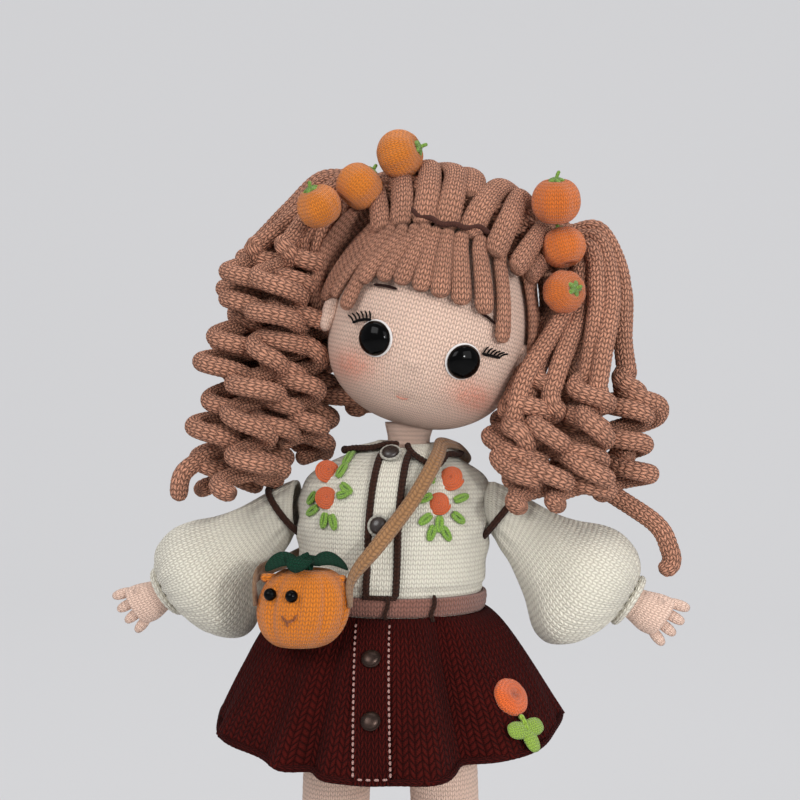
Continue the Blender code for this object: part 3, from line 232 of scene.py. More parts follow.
def yarnTube(name, path, radius, material, body, slot, replaces=(), **shape):
    # one tube as a piece of its own
    return shellPiece(name, [tubeShell(path, radius, **shape)], material, body, slot, replaces=replaces)


def smoothRings(rings, count):
    # Catmull-Rom through whole rings, so a few of them give a smooth loft
    knots = np.asarray(rings, float)
    ends = np.concatenate((2 * knots[:1] - knots[1:2], knots, 2 * knots[-1:] - knots[-2:-1]))
    steps = np.linspace(0.0, len(knots) - 1.0, count)
    first = np.minimum(steps.astype(int), len(knots) - 2)
    t = (steps - first)[:, None, None]
    a, b, c, d = ends[first], ends[first + 1], ends[first + 2], ends[first + 3]
    return (2 * b + (c - a) * t + (2 * a - 5 * b + 4 * c - d) * t**2 + (3 * b - a - 3 * c + d) * t**3) / 2


def startMaterial(name, roughness, **settings):
    # an empty material with its shader, whose sockets take the settings by name
    material = bpy.data.materials.new(name)
    material.use_nodes = True
    tree = material.node_tree
    shader = tree.nodes["Principled BSDF"]
    shader.inputs["Roughness"].default_value = roughness
    for key, value in settings.items():
        shader.inputs[key.replace("_", " ")].default_value = value
    return material, tree, shader


def put(tree, kind, inputs=(), **settings):
    # add a node, fill its inputs by index or name with numbers or sockets, and give its first output
    node = tree.nodes.new(kind)
    for key, value in settings.items():
        setattr(node, key, value)
    for key, value in dict(inputs).items():
        if isinstance(value, bpy.types.NodeSocket):
            tree.links.new(value, node.inputs[key])
        else:
            node.inputs[key].default_value = value
    return node.outputs[0]


def calc(tree, operation, *values):
    # one sum of the shader: numbers or sockets joined by an operation
    return put(tree, "ShaderNodeMath", enumerate(values), operation=operation)


def blendColour(tree, share, first, second, blend="MIX"):
    # the first colour where the share is 0, the second where it is 1
    node = tree.nodes.new("ShaderNodeMix")
    node.data_type, node.blend_type = "RGBA", blend
    for index, value in ((0, share), (6, first), (7, second)):
        if isinstance(value, bpy.types.NodeSocket):
            tree.links.new(value, node.inputs[index])
        else:
            node.inputs[index].default_value = value
    return node.outputs[2]


def tint(colour, factor):
    # a colour times a factor, at most white
    return (*[min(1.0, part * factor) for part in colour[:3]], 1.0)


def objectPlace(tree):
    # the shaded point in its object's own frame
    return tree.nodes.new("ShaderNodeTexCoord").outputs["Object"]


def addBump(tree, shader, height, distance):
    # raise the surface by a height socket times a distance in metres
    bumpNode = tree.nodes.new("ShaderNodeBump")
    bumpNode.inputs["Distance"].default_value = distance
    tree.links.new(height, bumpNode.inputs["Height"])
    tree.links.new(bumpNode.outputs[0], shader.inputs["Normal"])


def stitchHeight(tree, lean, loose):
    # each stitch is a V: two legs that lean out from the middle of its column, rounded across and along
    uv = put(tree, "ShaderNodeUVMap", uv_map="stitches")
    wobble = put(tree, "ShaderNodeTexNoise", {"Vector": uv, "Scale": 0.9, "Detail": 1.0})
    parts = tree.nodes.new("ShaderNodeSeparateXYZ")
    tree.links.new(uv, parts.inputs[0])
    shift = calc(tree, "MULTIPLY", calc(tree, "SUBTRACT", wobble, 0.5), loose)
    u = calc(tree, "ADD", parts.outputs[0], shift)
    v = calc(tree, "ADD", parts.outputs[1], shift)
    leg = calc(tree, "ABSOLUTE", calc(tree, "SUBTRACT", calc(tree, "FRACT", u), 0.5))
    leg = calc(tree, "MULTIPLY", leg, 2.0)
    slope = calc(tree, "SUBTRACT", v, calc(tree, "MULTIPLY", leg, lean))
    across = calc(tree, "POWER", calc(tree, "SINE", calc(tree, "MULTIPLY", leg, math.pi)), 0.55)
    row = calc(tree, "SINE", calc(tree, "MULTIPLY", calc(tree, "FRACT", slope), math.pi))
    return calc(tree, "MULTIPLY", across, calc(tree, "POWER", row, 0.6)), slope, leg


def yarnMaterial(name, colour, shade=0.45, bump=0.0006, lean=0.55, loose=0.25, fuzz=0.35, vary=0.10,
                 sheen=0.25, roughness=0.85, gloss=0.25, paint=None):
    # crochet: V stitches as bump and as painted shade in the gaps between them, fine fibres along the yarn,
    # slow colour change
    material, tree, shader = startMaterial(name, roughness, Sheen_Weight=sheen, Sheen_Roughness=0.5,
                                           Specular_IOR_Level=gloss)
    high, slope, leg = stitchHeight(tree, lean, loose)
    place = objectPlace(tree)
    fibre = put(tree, "ShaderNodeTexNoise", {"Vector": place, "Scale": 2600.0, "Detail": 2.0,
                                             "Roughness": 0.6})
    slow = put(tree, "ShaderNodeTexNoise", {"Vector": place, "Scale": 90.0, "Detail": 3.0})
    ply = calc(tree, "ADD", slope, calc(tree, "MULTIPLY", leg, 1.3))
    ply = calc(tree, "SINE", calc(tree, "MULTIPLY", ply, 19.0))
    skin = calc(tree, "ADD", high, calc(tree, "MULTIPLY", ply, 0.07))
    skin = calc(tree, "ADD", skin, calc(tree, "MULTIPLY", fibre, fuzz))
    full = blendColour(tree, slow, tint(colour, 1 - vary), tint(colour, 1 + vary))
    if paint:
        full = paint(tree, full, place)
    # painted shade: where the stitch height is low, in the gaps between stitches and between fibres, the
    # colour is mixed towards a darker copy of the yarn
    lit = put(tree, "ShaderNodeMapRange", {0: skin, 1: 0.15, 2: 1.05, 3: 0.0, 4: 1.0})
    deep = blendColour(tree, 1.0, full, (shade, shade * 0.94, shade * 0.9, 1.0), "MULTIPLY")
    tree.links.new(blendColour(tree, lit, deep, full), shader.inputs["Base Color"])
    addBump(tree, shader, skin, bump)
    return material


yarn = {  # colours read off
    "skin": screenColour(240, 206, 186), "blush": screenColour(240, 150, 120),
    "hair": screenColour(210, 150, 122), "hairDark": screenColour(84, 52, 44),
    "cream": screenColour(230, 225, 208), "trim": screenColour(60, 37, 28),
    "maroon": screenColour(70, 16, 12), "belt": screenColour(144, 98, 84),
    "strap": screenColour(160, 118, 78), "orange": screenColour(222, 126, 26),
    "deepOrange": screenColour(240, 108, 40), "redOrange": screenColour(222, 114, 32),
    "darkGreen": screenColour(16, 66, 46), "leafGreen": screenColour(134, 178, 64),
    "lime": screenColour(150, 185, 62), "felt": screenColour(226, 220, 216),
    "run": screenColour(196, 150, 140), "thread": screenColour(150, 80, 30),
}


def paintBlush(tree, colour, place):
    # rosy cheeks from the head's own "blush" value, broken up by the stitches
    source = tree.nodes.new("ShaderNodeAttribute")
    source.attribute_name = "blush"
    share = source.outputs["Fac"]
    grain = put(tree, "ShaderNodeTexNoise", {"Vector": place, "Scale": 500.0, "Detail": 2.0})
    return blendColour(tree, calc(tree, "MULTIPLY", share, calc(tree, "ADD", grain, 0.35)), colour,
                       yarn["blush"])


skinYarn = yarnMaterial("skin yarn", yarn["skin"], shade=0.60, bump=0.00032, vary=0.03, sheen=0.15, lean=0.5)
faceYarn = yarnMaterial("face yarn", yarn["skin"], shade=0.50, bump=0.00046, vary=0.05, sheen=0.12, lean=0.6,
                        paint=paintBlush)
hairYarn = yarnMaterial("hair yarn", yarn["hair"], shade=0.15, bump=0.00085, vary=0.24, loose=0.50,
                        sheen=0.05,
                        gloss=0.12)
creamYarn = yarnMaterial("cream yarn", tint(yarn["cream"], 0.80), shade=0.58, bump=0.00042, vary=0.04,
                         lean=0.35)
trimYarn = yarnMaterial("dark trim yarn", yarn["trim"], shade=0.5, bump=0.0004, vary=0.12, sheen=0.04,
                        gloss=0.10)
skirtYarn = yarnMaterial("skirt yarn", yarn["maroon"], shade=0.22, bump=0.00075, vary=0.30, lean=0.9,
                         loose=0.12, sheen=0.01, gloss=0.06)
beltYarn = yarnMaterial("belt yarn", yarn["belt"], shade=0.45, bump=0.0004, vary=0.10)
strapYarn = yarnMaterial("strap yarn", yarn["strap"], shade=0.50, bump=0.00035, vary=0.08)
orangeYarn = yarnMaterial("orange yarn", yarn["orange"], shade=0.55, bump=0.0004, vary=0.08)
fruitYarn = yarnMaterial("red orange yarn", yarn["redOrange"], shade=0.55, bump=0.0004, vary=0.08)
flowerYarn = yarnMaterial("flower yarn", yarn["deepOrange"], shade=0.55, bump=0.0003, vary=0.10)
darkGreenYarn = yarnMaterial("dark green yarn", yarn["darkGreen"], shade=0.4, bump=0.0006, vary=0.25,
                             sheen=0.03,
                             gloss=0.10)
leafYarn = yarnMaterial("leaf green yarn", yarn["leafGreen"], shade=0.5, bump=0.0003, vary=0.15)
limeYarn = yarnMaterial("lime yarn", yarn["lime"], shade=0.5, bump=0.0003, vary=0.12)
blouseYarn = yarnMaterial("blouse yarn", yarn["cream"], shade=0.62, bump=0.00036, vary=0.05, lean=0.45,
                          loose=0.15)
runYarn = yarnMaterial("running stitch yarn", yarn["run"], shade=0.6, bump=0.0002, vary=0.08)
seamYarn = yarnMaterial("seam yarn", yarn["hairDark"], shade=0.5, bump=0.0002, vary=0.1, sheen=0.03,
                        gloss=0.10)
threadYarn = yarnMaterial("brown thread", yarn["thread"], shade=0.5, bump=0.0002, vary=0.10)


def glossMaterial(name, colour, roughness, scratch=0.00002, shine=0.5, metallic=0.0):
    # moulded plastic: a little haze in its gloss and faint scratches
    material, tree, shader = startMaterial(name, roughness, Specular_IOR_Level=shine, Metallic=metallic)
    place = objectPlace(tree)
    haze = put(tree, "ShaderNodeTexNoise", {"Vector": place, "Scale": 400.0, "Detail": 4.0})
    tree.links.new(put(tree, "ShaderNodeMapRange", {0: haze, 1: 0.3, 2: 0.7, 3: roughness * 0.7,
                                                  4: roughness * 1.5}), shader.inputs["Roughness"])
    tree.links.new(blendColour(tree, haze, tint(colour, 0.85), tint(colour, 1.15)),
                   shader.inputs["Base Color"])
    addBump(tree, shader, haze, scratch)
    return material


def feltMaterial(name, colour):
    # pressed felt: matted fibres that lift it and change its shade
    material, tree, shader = startMaterial(name, 0.95, Sheen_Weight=0.4)
    place = objectPlace(tree)
    coarse = put(tree, "ShaderNodeTexNoise", {"Vector": place, "Scale": 900.0, "Detail": 5.0,
                                              "Roughness": 0.7})
    tree.links.new(blendColour(tree, coarse, tint(colour, 0.85), tint(colour, 1.05)),
                   shader.inputs["Base Color"])
    addBump(tree, shader, coarse, 0.0002)
    return material


eyeGloss = glossMaterial("black safety eye", screenColour(2, 2, 2), 0.09, shine=0.10)
buttonGloss = glossMaterial("dark button", screenColour(46, 38, 34), 0.28)
snapMetal = glossMaterial("bronze snap", screenColour(62, 48, 42), 0.30, metallic=0.85)
whiteFelt = feltMaterial("white felt", yarn["felt"])
print("finishes made")


head = {"centre": (0.0158, 0.0, 0.2723), "tilt": 15.0, "yaw": 4.5, "radius": 0.0380, "widest": -0.008,
        "above": 0.050, "below": 0.034, "cheek": 0.85, "rings": 150, "around": 220}
headTurn = np.array(Matrix.Rotation(math.radians(head["yaw"]), 3, "Z")
                    @ Matrix.Rotation(math.radians(head["tilt"]), 3, "Y"))


def fromHead(points):
    # from the head's own tilted frame to the doll's
    return np.asarray(points, float) @ headTurn.T + np.array(head["centre"])


def headPoint(angle, polar, lift=0.0):
    # a turned egg: radius by a power of the sine, longer above its widest ring than below
    polar = np.clip(polar, 0.0, math.pi)
    above = np.cos(polar) >= 0
    size = np.where(above, head["above"], head["below"]) + lift
    out = (head["radius"] + lift) * np.sin(polar) ** np.where(above, 1.0, head["cheek"])
    return pointGrid(out * np.sin(angle), -out * np.cos(angle),
                     head["widest"] + size * np.cos(polar))


def headNormal(angle, polar):
    # the polar angle runs down the head, so the sign is turned
    return -outward(headPoint, angle, polar)


def faceSpot(x, z, lift=0.0):
    # the point of the face in front of a local x and z, moved off it by lift
    polar = np.linspace(0.3, 2.9, 600)
    heights = headPoint(0.0, polar)[:, 2]
    turn = float(np.interp(-z, -heights, polar))
    out = head["radius"] * math.sin(turn) ** (1.0 if z >= head["widest"] else head["cheek"])
    angle = math.asin(max(-0.99, min(0.99, x / out)))
    return headPoint(angle, turn, 0.0) + headNormal(angle, turn) * lift


def mound(points, place, wide, tall, high):
    # a smooth swelling on the front of the head, round a local x and z
    spread = np.exp(-((points[..., 0] - place[0]) / wide) ** 2 - ((points[..., 2] - place[1]) / tall) ** 2)
    return high * spread * (points[..., 1] < 0)


face = {"slim": 0.0019, "eyes": ((-0.0159, -0.0143), (0.0159, -0.0143)), "socket": (0.0085, 0.0085, -0.0006),
        "cheeks": ((-0.0225, -0.0235), (0.0225, -0.0235)), "cheek": (0.0095, 0.0075, 0.0010),
        "nose": (-0.0012, -0.0190), "noseSize": (0.0026, 0.0022, 0.0011),
        "blush": ((-0.0225, -0.0250), (0.0225, -0.0250)), "blushSize": (0.0085, 0.0055),
        "mouth": (-0.0017, -0.0322)}


def makeHead():
    # the egg's grid of meridians and rings, with shallow eye sockets, cheeks and a nose
    polars = np.linspace(0.0, math.pi, head["rings"] + 2)[1:-1]
    angles = wheel(head["around"])
    local = headPoint(angles[None], polars[:, None])
    lift = sum(mound(local, place, *face["socket"]) for place in face["eyes"])
    lift = lift + sum(mound(local, place, *face["cheek"]) for place in face["cheeks"])
    lift = lift + mound(local, face["nose"], *face["noseSize"])
    lift = lift - 0.0006 * np.exp(-((local[..., 0] - face["mouth"][0]) / 0.005) ** 2
                                  - ((local[..., 2] - face["mouth"][1]) / 0.0016) ** 2) * (local[..., 1] < 0)
    shaped = headPoint(angles[None], polars[:, None], 0.0) + unit(local) * lift[..., None]
    near = np.exp(-((local[..., 0] + 0.042) / 0.014) ** 2 - ((local[..., 2] + 0.003) / 0.022) ** 2)
    shaped[..., 0] += face["slim"] * near
    wide, tall = face["blushSize"]
    blush = sum(np.exp(-((local[..., 0] - x) / wide) ** 2 - ((local[..., 2] - z) / tall) ** 2)
                for x, z in face["blush"]) * (local[..., 1] < 0) * 0.85
    piece = gridPiece("headKnit", fromHead(shaped), faceYarn, "head", "skin", gauge=(0.0020, 0.00165),
                      caps=(True, True), replaces=("head",), marks={"blush": blush})


def seatOn(spot, normal):
    # a place whose z axis is the surface's outward direction
    turn = Vector(normal).normalized().to_track_quat("Z", "Y").to_matrix().to_4x4()
    return Matrix.Translation(Vector(spot)) @ turn


def setOn(points, place):
    # points of a place's own frame in the doll's frame
    return points @ np.array(place.to_3x3()).T + np.array(place.translation)


def discPiece(name, profile, place, material, body, slot, sides=48, replaces=()):
    # a turned shape: a profile of radius and height carried round an axis, then set on its seat
    profile = np.asarray(profile, float)
    turn = wheel(sides)
    ring = np.stack([profile[:, :1] * np.cos(turn), profile[:, :1] * np.sin(turn),
                     np.repeat(profile[:, 1:], sides, axis=1)], axis=-1)
    return gridPiece(name, setOn(ring, place), material, body, slot, caps=(True, True), replaces=replaces)


eye = {"radius": 0.0062, "height": 0.0040, "angle": 25.0, "polar": 100.5, "felt": 0.00665, "feltWall": 0.0008,
       "seat": -0.0005, "rim": 0.0004}


def makeEyes():
    # domes on felt discs: an ellipse's quarter turned round the eye's axis, with a small rolled rim
    for side, word in bothSides:
        angle, polar = math.radians(eye["angle"]) * side, math.radians(eye["polar"])
        spot = fromHead(headPoint(angle, polar, 0.0))
        normal = headTurn @ headNormal(angle, polar)
        place = seatOn(spot, normal)
        low = eye["seat"]
        turn = np.linspace(0.0, math.pi / 2, 20)[:-1]
        base = low + eye["feltWall"] + 0.0001
        felt = [(eye["felt"] * 0.4, low - 0.0001), (eye["felt"] * 0.985, low), (eye["felt"], low + 0.0004),
                (eye["felt"] * 0.985, low + 0.0007), (eye["felt"] * 0.9, low + eye["feltWall"]),
                (eye["felt"] * 0.3, low + eye["feltWall"])]
        discPiece("eyeFelt_" + word, felt, place, whiteFelt, "head", "felt", replaces=("eye_felt_" + word,))
        dome = [(eye["radius"] * 0.92, base), (eye["radius"], base + eye["rim"])]
        dome += [(eye["radius"] * 0.97 * math.cos(t), base + 0.0006 + (eye["height"] - 0.0006) * math.sin(t))
                 for t in turn]
        discPiece("eyeDome_" + word, dome, place, eyeGloss, "head", "black", sides=72,
                  replaces=("eye_" + word,))


def thread(name, points, radius, material, body, slot, count=24, sides=8):
    # a plain strand of yarn: a circle along a smooth line, tapered at its ends
    path = smoothLine(points, count)
    return yarnTube(name, path, radius, material, body, slot, gauge=(radius * 2, radius * 3), sides=sides,
                    relief=0.12, ends=1.5)


# each brow's points on the face, in metres across and up
browLines = {"right": ((-0.0208, 0.0038), (-0.0181, 0.0041), (-0.0153, 0.0042), (-0.0124, 0.0040)),
             "left": ((0.0172, 0.0033), (0.0191, 0.0030), (0.0209, 0.0023), (0.0226, 0.0014))}
# the lid's line and the lashes' tips, in metres outwards and upwards from the eye's middle
lashSpots = {"lid": {-1: ((0.0026, 0.0060), (0.0050, 0.0056), (0.0074, 0.0046), (0.0094, 0.0033)),
                    1: ((0.0052, 0.0046), (0.0076, 0.0047), (0.0100, 0.0049), (0.0122, 0.0051))},
             "tip": (0.0017, 0.0026), "count": 6, "radius": 0.00034, "lidRadius": 0.00055}
fineYarn = {"bump": 0.0001, "vary": 0.1}
darkYarn = {"sheen": 0.02, "gloss": 0.1, "shade": 0.5, **fineYarn}
browYarn = yarnMaterial("brow yarn", screenColour(38, 20, 16), **darkYarn)
mouthYarn = yarnMaterial("mouth yarn", screenColour(206, 140, 118), shade=0.6, **fineYarn)
lashYarn = yarnMaterial("lash yarn", screenColour(12, 8, 8), **darkYarn)


def makeFaceStitches():
    # brows, lashes and mouth as single strands of yarn laid on the face
    for word, line in browLines.items():
        thread("brow_" + word, fromHead([faceSpot(x, z, 0.0014) for x, z in line]), 0.00055, browYarn, "head",
               "hair")
    for side, word in bothSides:
        centreX, centreZ = face["eyes"][side > 0]
        shells = []
        lid = smoothLine([(x, z, 0.0) for x, z in lashSpots["lid"][side]], 60)
        lid = np.stack((centreX + side * lid[:, 0], centreZ + lid[:, 1]), axis=1)
        points = fromHead([faceSpot(x, z, 0.0009) for x, z in lid[::8]])
        shells.append(tubeShell(smoothLine(points, 40), lashSpots["lidRadius"], gauge=(0.001, 0.001),
                                sides=10,
                                ends=1.2))
        for number in range(lashSpots["count"]):
            share = (number + 0.4) / lashSpots["count"]
            x, z = lid[int(share * 59)]
            out, up = lashSpots["tip"][0] * (0.5 + share), lashSpots["tip"][1] * (1.15 - 0.35 * share)
            bend = faceSpot(x + side * out * 0.30, z + up * 0.60, 0.0014)
            points = fromHead([faceSpot(x, z, 0.0009), bend, faceSpot(x + side * out, z + up, 0.0014)])
            shells.append(tubeShell(smoothLine(points, 20), lashSpots["radius"], gauge=(0.0008, 0.001),
                                    sides=8,
                                    ends=2.2))
        shellPiece("lashes_" + word, shells, lashYarn, "head", "black")
    x, z = face["mouth"]
    smile = [faceSpot(x + t, z + 0.0005 * (t / 0.0022) ** 2, 0.0002) for t in (-0.0022, -0.0008, 0.0008,
                                                                               0.0022)]
    thread("mouth", fromHead(smile), 0.00034, mouthYarn, "head", "hair")


ear = {"half": (0.0034, 0.0042, 0.0072), "dish": (0.0011, 0.0022, 0.0040), "angle": 74.0, "polar": 91.0}


def makeEars():
    # a flattened ball with a shallow dish on its outer face
    deep, dishWide, dishTall = ear["dish"]
    for side, word in bothSides:
        polar = np.linspace(0.0, math.pi, 26)[1:-1]
        turn = wheel(36)
        x, y, z = ear["half"]
        ball = pointGrid(x * np.sin(polar)[:, None] * np.cos(turn), y * np.sin(polar)[:, None] * np.sin(turn),
                         z * np.cos(polar)[:, None])
        dish = np.exp(-(ball[..., 1] / dishWide) ** 2 - (ball[..., 2] / dishTall) ** 2) * deep
        ball[..., 0] -= dish * (ball[..., 0] * side > 0) * side
        turnOut = side * math.radians(ear["angle"])
        centre = headPoint(np.array(turnOut), np.array(math.radians(ear["polar"])), 0.0003)
        ball = spun(ball, turnOut - side * math.pi / 2)
        gridPiece("earKnit_" + word, fromHead(ball + centre), skinYarn, "head", "skin", caps=(True, True),
                  replaces=("ear_" + word,))


makeHead()
makeEyes()
makeFaceStitches()
makeEars()
print("head made")


hair = {"ease": 0.0011, "wall": 0.0035, "radius": 0.0036, "rowsAround": 26,
        "capEdge": ((0, 33), (40, 40), (72, 56), (98, 68), (125, 104), (150, 126), (180, 134)),
        # each fringe band: angle and polar angle of its top, of its lower end, then its half widths
        "fringe": ((-66, 40, -112, 100, 3.4, 4.2), (-56, 42, -92, 94, 3.2, 4.0), (-47, 43, -76, 86, 3.0, 3.8),
                   (-42, 46, -61, 85, 2.8, 3.6), (-40, 50, -47, 89, 2.8, 3.9), (-31, 49, -41, 77.5, 2.7, 4.1),
                   (-24, 47, -29, 75, 2.5, 3.9), (-17, 46, -18, 75, 2.5, 3.8), (-10, 46, -7, 75.5, 2.5, 3.8),
                   (-2, 46, 3.5, 76, 2.6, 3.9), (7, 45.5, 15, 76.5, 2.8, 4.1), (20, 45, 28, 77.5, 3.0, 4.0),
                   (36, 46, 42.5, 86, 2.9, 3.6), (62, 44, 80, 104, 2.8, 3.4), (74, 50, 96, 108, 3.0, 3.6))}
crown = {"part": 0.0006, "endRadius": 0.0094, "band": 0.0045, "end": (0.0370, 0.006, 0.0375),
         "way": (0.86, 0.30, 0.18), "reach": 0.0370, "halfDepth": 0.0270, "halfHeight": 0.0160,
         "stations": ((0.00, 0.15, 2.24, 0.95, 0.95), (0.05, 0.15, 2.27, 1.01, 1.01),
                      (0.22, 0.15, 2.34, 0.98, 0.97),
                      (0.44, 0.16, 2.42, 0.86, 0.90), (0.66, 0.18, 2.44, 0.66, 0.80),
                      (0.84, 0.20, 2.40, 0.48, 0.69)),
         "bands": 15, "groove": 0.0021, "bandRadius": 0.0050, "seamDrop": (0.0, -0.0023, -0.0028),
         # side, place on the tie in degrees, and the band's points from the seam up, in millimetres
         "bandRoutes": (
             (-1, 20, ((-2.5, -27.2, 31.5), (-3.0, -25, 42), (-5, -13, 53), (-14, 2, 54.5), (-26, 8, 49))),
             (-1, 48, ((-10.5, -26.4, 31.5), (-12, -23.5, 42), (-15, -11, 52.5), (-22, 0, 51.5))),
             (-1, 75, ((-18, -24.5, 29.5), (-21, -20, 39), (-26, -9, 46.5))),
             (-1, 100, ((-24.5, -20.5, 26.5), (-29, -15, 34.5), (-32.5, -6, 39.5))),
             (-1, -15, ((3.5, -23, 44), (1.5, -9, 54), (-7, 6, 54.5), (-20, 13, 49.5))),
             (-1, -50, ((-1, 6, 53), (-8, 18, 48), (-22, 20, 43))),
             (1, 15, ((6.0, -27, 31.5), (8.5, -24, 42), (13, -10, 52.5), (20, 2, 53), (29, 7, 48))),
             (1, 45, ((16.5, -27.4, 27.5), (18.5, -24, 38), (21, -12, 50), (28, 0, 48.5))),
             (1, 75, ((25, -24, 24.5), (29, -18.5, 34), (32.5, -7.5, 41.5))),
             (1, 105, ((31, -18.5, 21.5), (34.5, -10.5, 29.5))),
             (1, -20, ((4.5, -2, 51.5), (10, 10, 52), (24, 15, 47))),
             (1, -50, ((2, 10, 50), (10, 21, 44), (26, 20, 40)))),
         "seam": ((-34, 43), (-22, 45), (-8, 46.5), (6, 45.5), (20, 43.5), (30, 45))}


def capEdge(angle):
    # the polar angle where the cap ends, read from its table by the angle's size
    turn = np.abs((np.degrees(angle) + 180.0) % 360.0 - 180.0)
    table = np.asarray(hair["capEdge"], float)
    return np.radians(np.interp(turn, table[:, 0], table[:, 1]))


def makeCap():
    # the head's egg lifted a little, with combed bands down the back, as a sheet with a wall
    angles = wheel(hair["rowsAround"] * 10)
    shares = np.linspace(0.02, 1.0, 60)
    band = np.abs(np.sin(angles * hair["rowsAround"] / 2)) ** 0.6
    polar = capEdge(angles) * shares[:, None]
    lift = hair["ease"] + 0.0002 + 0.0011 * (band - 1) * np.clip(shares[:, None] * 3, 0, 1)
    points = headPoint(angles[None], polar, lift + hair["wall"] * 0.55)
    gridPiece("hairCap", fromHead(points), hairYarn, "head", "hair", gauge=(0.0024, 0.0020),
              caps=(True, False),
              inside=fromHead((0.0, 0.0, 0.0)), wall=hair["wall"] * 0.6, offset=-1.0, replaces=("hair_cap",))


def makeFringe():
    # flat bands that fan out from the seam, each along the head's curve and wider towards its end
    bands = []
    for number, (topAngle, topPolar, endAngle, endPolar, narrow, wide) in enumerate(hair["fringe"]):
        t = np.linspace(0.0, 1.0, 64)
        angle = np.radians(topAngle + (endAngle - topAngle) * t**1.15)
        polar = np.radians(topPolar + (endPolar - topPolar) * t)
        radius = (narrow + (wide - narrow) * t) / 1000
        lift = hair["ease"] + radius * 0.44 + 0.0004 * (number % 2) + 0.0022 * np.exp(-(t / 0.12) ** 2)
        facing = np.stack([headNormal(a, p) for a, p in zip(angle, polar)])
        bands.append(tubeShell(fromHead(headPoint(angle, polar, lift)), radius, gauge=(0.0023, 0.0020),
                               sides=24,
                               flat=0.50, facing=facing @ headTurn.T, ends=0.55))
    shellPiece("fringeBands", bands, hairYarn, "head", "hair", replaces=("fringe",))


def crownWay(side):
    # the direction in which the hair leaves the tie of one side
    return unit(np.array(crown["way"]) * (side, 1.0, 1.0))


def ringAcross(centre, way, radius, turns):
    # a circle square to a direction, from its upper side round by its front
    front = unit(np.cross(way, (0.0, 0.0, 1.0)) * math.copysign(1.0, way[0]))
    up = np.cross(front, way) * math.copysign(1.0, way[0])
    return centre + radius * (np.cos(turns)[:, None] * up + np.sin(turns)[:, None] * front)


def makeCrown(side, word):
    # hair swept from the parting to a tie: ellipses joined by a smooth loft, grooved between its bands
    turns = wheel(crown["bands"] * 14)
    rings = []
    for out, depth, height, halfDepth, halfHeight in crown["stations"]:
        x = crown["part"] + crown["reach"] * out
        y = crown["halfDepth"] * (depth + halfDepth * np.sin(turns))
        z = crown["halfHeight"] * (height + halfHeight * np.cos(turns))
        rings.append(pointGrid(side * x, y, z))
    way, end = crownWay(side), np.array(crown["end"]) * (side, 1.0, 1.0)
    for step in (0.0, crown["band"]):
        rings.append(ringAcross(end + way * step, way, crown["endRadius"], -turns))
    loft = smoothRings(rings, 110)
    middle = loft.mean(axis=1, keepdims=True)
    across = np.linalg.norm(loft - middle, axis=2, keepdims=True)
    twist = np.linspace(0.0, 0.35, len(loft))[:, None] * side
    ridge = np.abs(np.sin((turns + twist) * crown["bands"] / 2)) ** 0.75
    deep = crown["groove"] * np.clip(across[..., 0] / 0.018, 0.35, 1.0)
    wave = 0.0005 * np.sin(turns * 5 + np.linspace(0, 3, len(loft))[:, None])
    loft = middle + (loft - middle) * (1 + ((ridge - 0.75) * deep + wave) / across[..., 0])[..., None]
    run = np.concatenate(([0.0], np.cumsum(np.linalg.norm(np.diff(loft, axis=0), axis=2).mean(axis=1))))
    u = np.linspace(0.0, crown["bands"] * 2.0, len(turns) + 1)
    uv = stitchMap(run / 0.0021, u)
    uv[:, :, 0] += np.linspace(0.0, 0.35, len(loft))[:, None] * side * crown["bands"] / math.pi
    shells = [gridShell(fromHead(loft), uv=uv, caps=(True, True))]
    for ownSide, place, points in crown["bandRoutes"]:
        if ownSide == side:
            last = ringAcross(end + way * 0.001, way, 0.0072, np.radians([place]))[0]
            points = metres(points)
            points[0] += np.array(crown["seamDrop"]) * (23 < points[0, 2] * 1000 < 33)
            path = smoothLine(np.vstack((points, last)), 80)
            out = unit(path - (0.0, 0.0, 0.024))
            radius = np.linspace(crown["bandRadius"], crown["bandRadius"] * 0.72, 80)
            shells.append(tubeShell(fromHead(path), radius, gauge=(0.0023, 0.0021), sides=24, flat=0.62,
                                    facing=out @ headTurn.T, ends=0.55))
    shellPiece("crownHair_" + word, shells, hairYarn, "head", "hair", replaces=("crown_" + word,))


def makeTie(side, word):
    # two turns of cord round the gathered hair
    way, end = crownWay(side), np.array(crown["end"]) * (side, 1.0, 1.0)
    shells = []
    for step in (0.0010, 0.0034):
        turn = np.append(wheel(90), 2 * math.pi)
        ring = ringAcross(end + way * step, way, crown["endRadius"] + 0.0012, turn)
        shells.append(tubeShell(fromHead(ring), 0.0014, gauge=(0.0015, 0.0016), sides=12, ends=0.1))
    shellPiece("tieCord_" + word, shells, hairYarn, "head", "hair", replaces=("hair_tie_" + word,))


